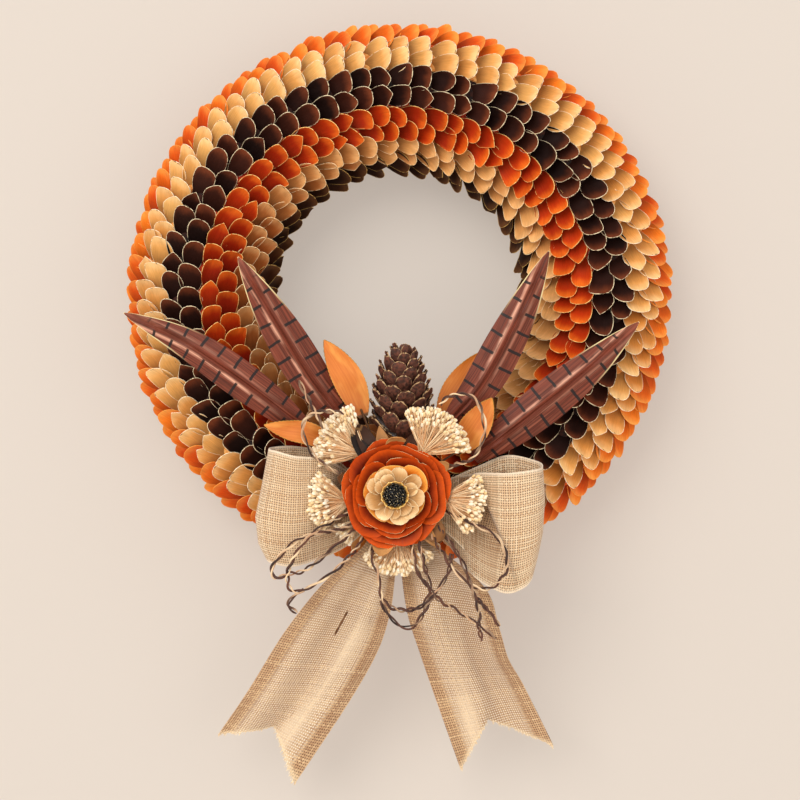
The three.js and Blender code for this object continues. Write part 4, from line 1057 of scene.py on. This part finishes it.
def pine_cone():
    random = Random(3)
    form = Form()
    foot, upward = np.array(CONE_FOOT), np.array([0.0, 0.0, 1.0])
    height = np.linspace(0.0, 0.9, 12)[:, None]
    angle = np.linspace(0, tau, 24, endpoint=False)
    radius = 0.5 * np.interp(height, CONE_SHARES, CONE_REACHES) * MM
    core = foot + stack(radius * np.cos(angle), radius * np.sin(angle), height * CONE_HEIGHT)
    form.shell(core, (0, 0, 0), (0, 0, 0.1))
    for i in range(CONE_SCALES):
        share = 0.07 + 0.93 * (i / (CONE_SCALES - 1)) ** 0.86
        turn = i * GOLDEN_ANGLE + random.uniform(-0.08, 0.08)
        reach = np.interp(share, CONE_SHARES, CONE_REACHES) * MM * random.uniform(0.94, 1.06)
        size = 0.5 + 0.5 * reach / 0.032
        length = (0.026 * size + 0.002) * random.uniform(0.95, 1.05)
        width = 0.0172 * size * random.uniform(0.9, 1.08)
        along, side, height, edge = spoon(
            length, width, 0.0, -0.0020 * size, random.uniform(0.4, 0.5), 0.62, 0.64)
        outward = np.array([cos(turn), sin(turn), 0.0])
        sideways = np.array([-sin(turn), cos(turn), 0.0])
        part = along / length
        lean = radians(74 - 46 * share + random.uniform(-6, 6))
        bend = lean - radians(38) * part ** 1.6 * (1 - 0.5 * share)
        run = np.diff(along, axis=0, prepend=0)
        out = np.cumsum(run * np.sin(bend), axis=0)
        up = np.cumsum(run * np.cos(bend), axis=0)
        out = out + reach - out[-1, 4]
        up = up + share * CONE_HEIGHT - up[-1, 4]
        height = height + 0.0007 * np.sin(side * 900 + i) * part
        grid = (foot + outward * (out + height * np.cos(bend))[..., None]
                + upward * (up - height * np.sin(bend))[..., None] + sideways * side[..., None])
        lay, tone = laid(along, side, edge, length, random.uniform(0, 40), random.random())
        form.sheet(grid, (0.0010 + 0.0009 * part ** 3) * size, lay, tone, slots=(0, 0, 1))
    stalk = [knot_entry(84, 147), foot - upward * 0.010, foot + upward * 0.012]
    form.tube(smooth_path(stalk, 0.003), 0.0034, 12, tone=(0, 0, 0.3))
    return form.piece("pine_cone", [cone_finish(), cut_finish(
        "cone scale edge", 0xC8A67C, 0x4A2C1C, 300, 0.44, 0.56)], "cone", ["pine_cone"])


pine_cone()

# The flower: the depths between which each layer's boss lies, and how far the cream comes
COLLAR_BACK, COLLAR_FRONT = 0.1523, 0.1561
RUST_BACK, RUST_FRONT = 0.1566, 0.1752
ORANGE_BACK, ORANGE_FRONT = 0.1759, 0.1817
CREAM_BACK, CREAM_FRONT = 0.1822, 0.1891
CENTRE_BACK = 0.1895
CREAM_REACH = 0.1945
BACKING = plain_finish("backing paper", 0x241510, 0x3A241A, 300, 0.9)
FAN_SHARES = np.array([0, 0.2, 0.38, 0.54, 0.68, 0.8, 0.9, 0.965, 1.0])[:, None]
FAN_SIDES = np.array([-1, -0.97, -0.9, -0.78, -0.62, -0.42, -0.2, 0, 0.2, 0.42, 0.62, 0.78, 0.9, 0.97, 1])
FAN_CORNERS = (0.80, 0.90, 0.965)


def fan_petal(form, angle, inner, reach, half_angle, back, base, rise, twist, random,
              uneven=0.014, ripple=0.0006):
    """A wide petal whose rim is an arc round the flower's middle, one side over the next."""
    share, t = FAN_SHARES, FAN_SIDES
    wave = random.uniform(0, tau)
    rim = reach * (1 - 0.16 * np.abs(t) ** 3.5 + uneven * np.sin(t * 5 + wave))
    for i, cut in enumerate(FAN_CORNERS):
        rim[[i, -1 - i]] *= cut
    radius = inner + (rim - inner) * share
    theta = angle + t * half_angle * (0.75 + 0.25 * share)
    bowl = np.clip((radius - inner) / (reach - inner), 0, 1.1)
    height = base + rise * bowl ** 1.7 + twist * t * share + ripple * np.sin(t * 7 + wave * 2) * share ** 2
    edge = np.minimum(np.maximum(np.abs(t) ** 6, share ** 6), 0.84)
    edge[-1] = edge[:, 0] = edge[:, -1] = 1
    lay = stack((theta - angle) * radius, radius, angle * 7)
    tone = stack(edge, share, random.random())
    form.sheet(knot_point(theta, radius, back + height), PETAL_THICKNESS, lay, tone, slots=(0, 0, 1))


def boss(form, radius, back, front, slot=2):
    """A round block under a layer of petals."""
    angle = np.linspace(0, tau, 32, endpoint=False)
    profile = [(radius, back), (radius, front - 0.001), (radius - 0.001, front)]
    grid = np.stack([knot_point(angle, r, y) for r, y in profile])
    form.shell(grid, (0, 0, 0), (0, 0, 0.1), slot=slot)


def flower_rust():
    """Layers of petals: count, reach, half angle, base, rise and first angle."""
    random = Random(17)
    form = Form()
    boss(form, 0.013, RUST_BACK, RUST_FRONT)
    for count, reach, half, base, rise, start in [
            (5, 54.5, 45, 1.6, 6.6, 20), (5, 50, 44, 3.6, 8.6, 62), (4, 44.5, 54, 6.2, 9.4, 8),
            (4, 38.5, 52, 9.0, 7.8, 58)]:
        for i in range(count):
            angle = radians(start) + i * tau / count + random.uniform(-0.12, 0.12)
            fan_petal(form, angle, 0.008, reach * MM * random.uniform(0.94, 1.04),
                      radians(half * random.uniform(0.92, 1.08)), RUST_BACK, base * MM, rise * MM,
                      0.0016, random, uneven=0.034, ripple=0.0010)
    return form.piece("flower_rust_petals", [
        shaving_finish("flower rust", 0x941E02, 0xCA4006, 0xD8540A, 0xFFF0C0, worn_rim=0.0,
                       painted_foot_shade=(0.78, 1.0, 0.4)),
        cut_finish("flower rust edge", 0xFFF0B4, 0xA83804, 60, 0.45, 0.51), BACKING], "rust",
        ["flower_rust_petals"])


def flower_orange():
    """Petals: angle, reach, half angle and twist."""
    random = Random(23)
    form = Form()
    boss(form, 0.011, ORANGE_BACK, ORANGE_FRONT)
    for angle, reach, half, twist in [
            (100, 29.5, 42, 1.2), (160, 31, 40, 1.2), (215, 30, 44, 1.2), (280, 28.5, 40, 1.2),
            (335, 30, 38, 1.2), (38, 35, 36, 0.4)]:
        fan_petal(form, radians(angle), 0.006, reach * MM, radians(half), ORANGE_BACK, 0.0008,
                  0.0050, twist * MM, random)
    return form.piece("flower_orange_petals", [
        shaving_finish("flower orange", 0xE8700C, 0xFA8E20, 0xFFB450, 0xFBDFA0, worn_rim=0.5,
                       painted_foot_shade=(0.6, 0.95, 0.7)),
        cut_finish("flower orange edge", 0xE8B054, 0x9A6A2A), BACKING], "orange",
        ["flower_orange_petals"])


def flower_cream():
    """Petals: angle, length, width and layer."""
    random = Random(31)
    form = Form()
    boss(form, 0.010, CREAM_BACK, CREAM_FRONT)
    petals = [(i * 40 + random.uniform(-7, 7), 23.5, 18, 0) for i in range(9)]
    petals += [(a, 18, 15, 1) for a in (20, 118, 150, 262, 305)]
    for i, (angle, long, wide, upper) in enumerate(petals):
        long, wide = long * MM * random.uniform(0.92, 1.05), wide * MM * random.uniform(0.85, 1.12)
        along, side, height, edge = spoon(
            long, wide, 0.0040 - 0.001 * upper, 0.0030, random.uniform(0.32, 0.5), 0.45, 0.62)
        part = along / long
        curl = random.uniform(0.0, 0.0022) * part ** 4
        ripple = 0.0012 * np.sin(side / wide * 10 + i * 2) * part
        twist = random.uniform(-0.06, 0.18)
        bulge = 0.0010 * np.sin(part * 5 + i)
        front = CREAM_BACK + 0.0018 + 0.0014 * upper + height - curl + twist * side + ripple + bulge
        grid = knot_point(radians(angle), 0.0052 + along, np.minimum(front, CREAM_REACH), side)
        lay, tone = laid(along, side, edge, long, i * 3.7, random.random())
        form.sheet(grid, PETAL_THICKNESS, lay, tone, slots=(0, 0, 1))
    return form.piece("flower_cream_petals", [
        shaving_finish("flower cream", 0xBA844A, 0xDEB078, 0xF6D8A6, 0xFFEEC8, 0xA07034,
                       painted_foot_shade=(0.2, 0.75, 0.5)),
        cut_finish("flower cream edge", 0xECD4A6, 0xB08A50), BACKING], "cream",
        ["flower_cream_petals"])


def ball(form, centre, radius):
    lift = np.linspace(-1, 1, 10)[:, None] * radians(80)
    turn = np.linspace(0, tau, 14, endpoint=False)
    grid = centre + radius * stack(np.cos(lift) * np.cos(turn), np.cos(lift) * np.sin(turn), np.sin(lift))
    form.shell(grid, (0, 0, 0), (0, 0, 0))


def flower_centre():
    """A dome of small beads in a thin gold cup, whose section is [out, forward]."""
    random = Random(7)
    form = Form()
    reach, beads = 0.0112, 42
    angle = np.linspace(0, tau, 40, endpoint=False)
    dome = np.stack([knot_point(angle, reach * cos(a), CENTRE_BACK + 0.0052 * sin(a))
                     for a in np.radians(np.linspace(0, 84, 8))])
    form.shell(dome, (0, 0, 0), (0, 0, 0))
    for i in range(beads):
        radius = reach * sqrt((i + 0.5) / beads)
        depth = CENTRE_BACK + 0.0054 * sqrt(max(0.0, 1 - (radius / 0.0118) ** 2)) + 0.0003
        ball(form, knot_point(i * GOLDEN_ANGLE, radius, depth), random.uniform(0.0015, 0.0018))
    cup = np.stack([
        knot_point(angle, 0.0124 + out + 0.3 * forward * np.sin(angle * 13), CENTRE_BACK + forward)
        for out, forward in [
            (-0.0008, 0), (0.0002, 0), (0.0013, 0.0019), (0.0006, 0.0021), (-0.0006, 0.0009)]])
    form.shell(np.swapaxes(cup, 0, 1), (0, 0, 0), (0, 0, 0), wrap_rows=True, slot=1)
    return form.piece("flower_centre", [
        bead_finish(),
        plain_finish("gold cup", 0xD08A30, 0xFFD880, 500, 0.45, metallic=0.15)], "black",
        ["flower_centre"])


# Dry leaves round the flower: clock angle, reach, width, curl, tone
COLLAR_LEAVES = [
    (88, 64, 26, 1.2, 1.0), (103, 66, 18, -0.6, 0.62), (163, 62, 22, 0.5, 0.1),
    (256, 66, 26, 0.6, 0.95), (317, 70, 26, 0.8, 0.30), (309, 66, 15, -0.5, 0.75),
    (30, 66, 17, 0.8, 0.9), (118, 84, 19, 1.0, -0.4), (126, 76, 15, 0.4, -0.6), (72, 66, 16, 0.3, -0.3),
]


def leaf_collar():
    form = Form()
    boss(form, 0.016, COLLAR_BACK, COLLAR_FRONT, slot=0)
    for angle, reach, width, curl, tint in COLLAR_LEAVES:
        angle = radians(angle)
        long, wide = (reach - 6) * MM, width * MM
        along, side, height, edge = spoon(long, wide, 0.012, 0.001, 0.72, 0.3, 0.55,
                                          shares=np.linspace(0, 1, 16))
        part = along / long
        fold = 0.0030 * np.abs(side / (wide / 2)) * part + 0.0012 * np.sin(part * 7 + angle * 2)
        radius = 0.006 + along - 0.096 * curl * np.clip(part - 0.75, 0, 1) ** 2
        lift = height * 0.85 + fold + 0.11 * curl * np.clip(part - 0.7, 0, 1) ** 2 + 0.12 * side
        lay, tone = laid(along, side, edge, long, angle, tint)
        form.sheet(knot_point(angle, radius, COLLAR_BACK + 0.0014 + lift, side), 0.0007, lay, tone)
    return form.piece("flower_leaf_collar", [leaf_finish()], "dry_leaf", ["flower_leaf_collar"])


leaf_collar()
flower_rust()
flower_orange()
flower_cream()
flower_centre()

# Sprigs: entry at the knot, neck, fan of clock angles, lengths, depth of the tips, stalks
SPRIGS = [
    ("sprig_top_left", (126, 143), ((366, 456), 152), (104, 192), (32, 52), 165, 270),
    ("sprig_top_right", (60, 143), ((422, 454), 160), (3, 112), (27, 47), 181, 290),
    ("sprig_left", (184, 143), ((350, 500), 152), (136, 230), (22, 42), 169, 230),
    ("sprig_left_low", (222, 143), ((362, 520), 147), (190, 244), (14, 27), 156, 60),
    ("sprig_bottom", (268, 143), ((398, 536), 148), (208, 334), (22, 40), 156, 210),
    ("sprig_right", (356, 143), ((442, 498), 152), (-58, 36), (26, 43), 173, 190),
]


SPRIG_STEM_RADIUS = 0.0019
STALK_FOOT_RADIUS, STALK_TIP_RADIUS = 0.00058, 0.00046
STALK_STRAY = 0.0022


def sprig(name, entry, neck, fan, long, tip, count, random):
    form = Form()
    middle = seen(*neck[0], -neck[1] * MM)
    inner = knot_entry(*entry)
    for i in range(count):
        angle = radians(fan[0] + (fan[1] - fan[0]) * (i + random.random()) / count)
        reach = (long[0] + (long[1] - long[0]) * random.random() ** 0.6) * MM
        depth = tip * MM + random.uniform(-0.009, 0.004)
        end = np.array([middle[0] + reach * cos(angle), -depth, middle[2] + reach * sin(angle)])
        start = inner + anywhere(random) * STALK_STRAY
        knee = middle + (end - middle) * 0.12 + anywhere(random) * STALK_STRAY
        bend = (knee + end) / 2 + anywhere(random, 0.4) * 0.0011
        path = smooth_path([start, knee, bend, end], 0.0075)
        thick = np.linspace(STALK_FOOT_RADIUS, STALK_TIP_RADIUS, len(path))
        form.tube(path, thick, 5, tone=(0, 0, random.random()))
        for bud in range(random.choice((1, 1, 2))):
            size = random.uniform(0.00125, 0.0018) * (0.8 if bud else 1)
            off = anywhere(random) * 0.0014 * bud
            long_bud(form, end + off, unit(end - bend), size, (1, 1, random.random()))
    stem = smooth_path([inner, (inner + middle) / 2, middle], 0.003)
    form.tube(stem, SPRIG_STEM_RADIUS, 8, tone=(0, 0, 0.2))
    return form.piece(name, [DRIED_STALK], "sprig", [name])


def long_bud(form, centre, axis, size, tone):
    """A small bud, a little longer than wide."""
    path = [centre + axis * size * k for k in (-1.8, -1.0, 0.0, 0.85, 1.2)]
    form.tube(path, np.array([0.35, 0.85, 1.0, 0.75, 0.25]) * size, 6, tone=tone)


DRIED_STALK = stalk_finish()
random = Random(29)
for bunch in SPRIGS:
    sprig(*bunch, random)

# Vine stems: paleness, and [across, down]. Their depth follows from how far they are from the
# knot: near up to a number of steps, and far at some more steps.
VINES = [
    ("vine_left", 0.3, [
        [(372, 512), (345, 528), (319, 533), (298, 540), (281, 555), (272, 568), (275, 578),
         (288, 574), (303, 571), (322, 558), (341, 541), (372, 518)],
        [(368, 506), (340, 517), (311, 535), (294, 557), (288, 573), (288, 584), (293, 591),
         (304, 590), (325, 578), (345, 561), (361, 541), (368, 514)],
        [(304, 590), (294, 596), (288, 605), (297, 613)],
    ]),
    ("vine_top_left", 0.7, [
        [(372, 484), (340, 474), (318, 460), (308, 446), (303, 434), (304, 422), (312, 414),
         (328, 411), (344, 414)],
        [(324, 428), (314, 410), (307, 397), (299, 380)],
    ]),
    ("vine_top_right", 0.6, [
        [(418, 484), (436, 474), (454, 465), (468, 461), (477, 453), (482, 441), (485, 430),
         (481, 409), (473, 397), (461, 394), (448, 397), (440, 405)],
    ]),
    ("vine_right", 0.12, [
        [(420, 500), (446, 512), (466, 520), (480, 527), (494, 534), (503, 546), (507, 558),
         (506, 571), (499, 582), (487, 589), (475, 587), (464, 580), (454, 570), (446, 558),
         (436, 542), (418, 510)],
        [(424, 508), (446, 536), (459, 556), (466, 571), (471, 586), (475, 598), (479, 613),
         (479, 627), (482, 641)],
        [(475, 596), (490, 613), (500, 626)],
        [(408, 514), (416, 567), (428, 586), (437, 598), (456, 610), (470, 619), (486, 630),
         (496, 639)],
        [(452, 554), (450, 567), (444, 581), (433, 595), (420, 607), (400, 610), (383, 600),
         (378, 573), (371, 552), (379, 512)],
        [(436, 591), (427, 606), (420, 619), (412, 627), (400, 626), (388, 614), (380, 601)],
        [(412, 514), (424, 563), (428, 577), (430, 592), (424, 604)],
    ]),
]
VINE_NEAR, VINE_FAR = 0.150, 0.184
VINE_NEAR_WITHIN, VINE_RISE_OVER = 36, 64
VINE_STEP = 0.0016
VINE_TWIST = 0.024


def vine_point(across, down):
    away = hypot(across - KNOT_ACROSS, down - KNOT_DOWN)
    share = min(1.0, max(0.0, (away - VINE_NEAR_WITHIN) / VINE_RISE_OVER))
    share = share * share * (3 - 2 * share)
    return seen(across, down, -VINE_NEAR - (VINE_FAR - VINE_NEAR) * share)


def vine(name, pale, stems, random):
    """Each stem is two strands, twisted round each other unevenly."""
    form = Form()
    for number, stem in enumerate(stems):
        path = smooth_path([vine_point(*place) for place in stem], VINE_STEP)
        tangent = unit(np.gradient(path, axis=0))
        side = unit(np.cross(tangent, (0, 1, 0)))
        other = np.cross(tangent, side)
        along = np.arange(len(path))[:, None] * VINE_STEP
        start = random.uniform(0, tau)
        phase = along / VINE_TWIST * tau + 1.6 * np.sin(along / 0.017 + start) + start
        loose = 0.00105 + 0.0006 * np.sin(along / 0.023 + start) ** 2
        for strand in range(2):
            turn = phase + strand * pi
            thick = 0.0012 - 0.0002 * strand + 0.0002 * np.sin(along[:, 0] / 0.013 + strand * 2 + start)
            thick[-2:] *= (0.8, 0.5)
            offset = loose * (side * np.cos(turn) + other * np.sin(turn))
            form.tube(path + offset, thick, 6, lay_seed=number + 0.5 * strand + len(name),
                      tone=(0, 0.5, 0.1 + 0.35 * strand + pale * 0.5))
    return form.piece(name, [VINE_BARK], "vine", [name])


VINE_BARK = vine_finish()
random = Random(53)
for stems in VINES:
    vine(*stems, random)


# The stage and the light
STAGE_SIDE, FLOOR_Z, WALL_TOP, WALL_Y = 4, -1.25, 3, 0.004
FLOOR = [(-STAGE_SIDE, -STAGE_SIDE, FLOOR_Z), (STAGE_SIDE, -STAGE_SIDE, FLOOR_Z),
         (STAGE_SIDE, STAGE_SIDE, FLOOR_Z), (-STAGE_SIDE, STAGE_SIDE, FLOOR_Z)]
WALL = [(-STAGE_SIDE, WALL_Y, FLOOR_Z), (STAGE_SIDE, WALL_Y, FLOOR_Z),
        (STAGE_SIDE, WALL_Y, WALL_TOP), (-STAGE_SIDE, WALL_Y, WALL_TOP)]


def add_stage():
    """A plain pale floor well below, and a plain pale wall that shows only its front and gives
    off a little light, as the walls of a room throw light back."""
    for name, corners, shade, painted_glow in (
            ("floor", FLOOR, 0xE9E1D8, 0.0), ("wall", WALL, 0xA0988E, 0.35)):
        mesh = bpy.data.meshes.new(name)
        mesh.from_pydata(corners, [], [(0, 1, 2, 3)])
        finish = Finish(name + " paint", base_color=colour(shade), roughness=0.9,
                        emission_strength=painted_glow, emission_color=colour(0xF8EEE6))
        if name == "wall":
            behind = finish.node("NewGeometry", {}, {}, "Backfacing")
            clear = finish.node("BsdfTransparent", {}, {})
            shown = Reading(finish, finish.shader.outputs[0])
            mixed = finish.node("MixShader", {}, {0: behind, 1: shown, 2: clear})
            output = finish.tree.nodes["Material Output"]
            finish.tree.links.new(mixed.output, output.inputs["Surface"])
        mesh.materials.append(finish.material)
        made = bpy.data.objects.new(name, mesh)
        made.visible_shadow = name == "floor"
        bpy.context.scene.collection.objects.link(made)


def add_light(name, place, aim, size, power, tint):
    data = bpy.data.lights.new(name, "AREA")
    data.shape = "DISK"
    data.size = size
    data.energy = power
    data.color = tint
    made = bpy.data.objects.new(name, data)
    made.location = place
    made.rotation_euler = (Vector(aim) - Vector(place)).to_track_quat("-Z", "Y").to_euler()
    bpy.context.scene.collection.objects.link(made)


add_stage()
add_light("key", (-2.4, -5.6, 2.4), (0, 0, -0.35), 4.6, 230, (1.0, 0.975, 0.945))
add_light("fill", (2.8, -3.6, -0.4), (0, 0, -0.35), 3.0, 20, (1.0, 0.975, 0.95))
add_light("back", (0.6, 2.4, 0.8), (0, 0, -0.3), 1.6, 30, (1.0, 0.98, 0.96))
world = bpy.data.worlds.new("studio")
world.use_nodes = True
world.node_tree.nodes["Background"].inputs["Color"].default_value = (0.93, 0.89, 0.855, 1)
world.node_tree.nodes["Background"].inputs["Strength"].default_value = 1.0
bpy.context.scene.world = world
bpy.context.scene.view_settings.view_transform = "Standard"
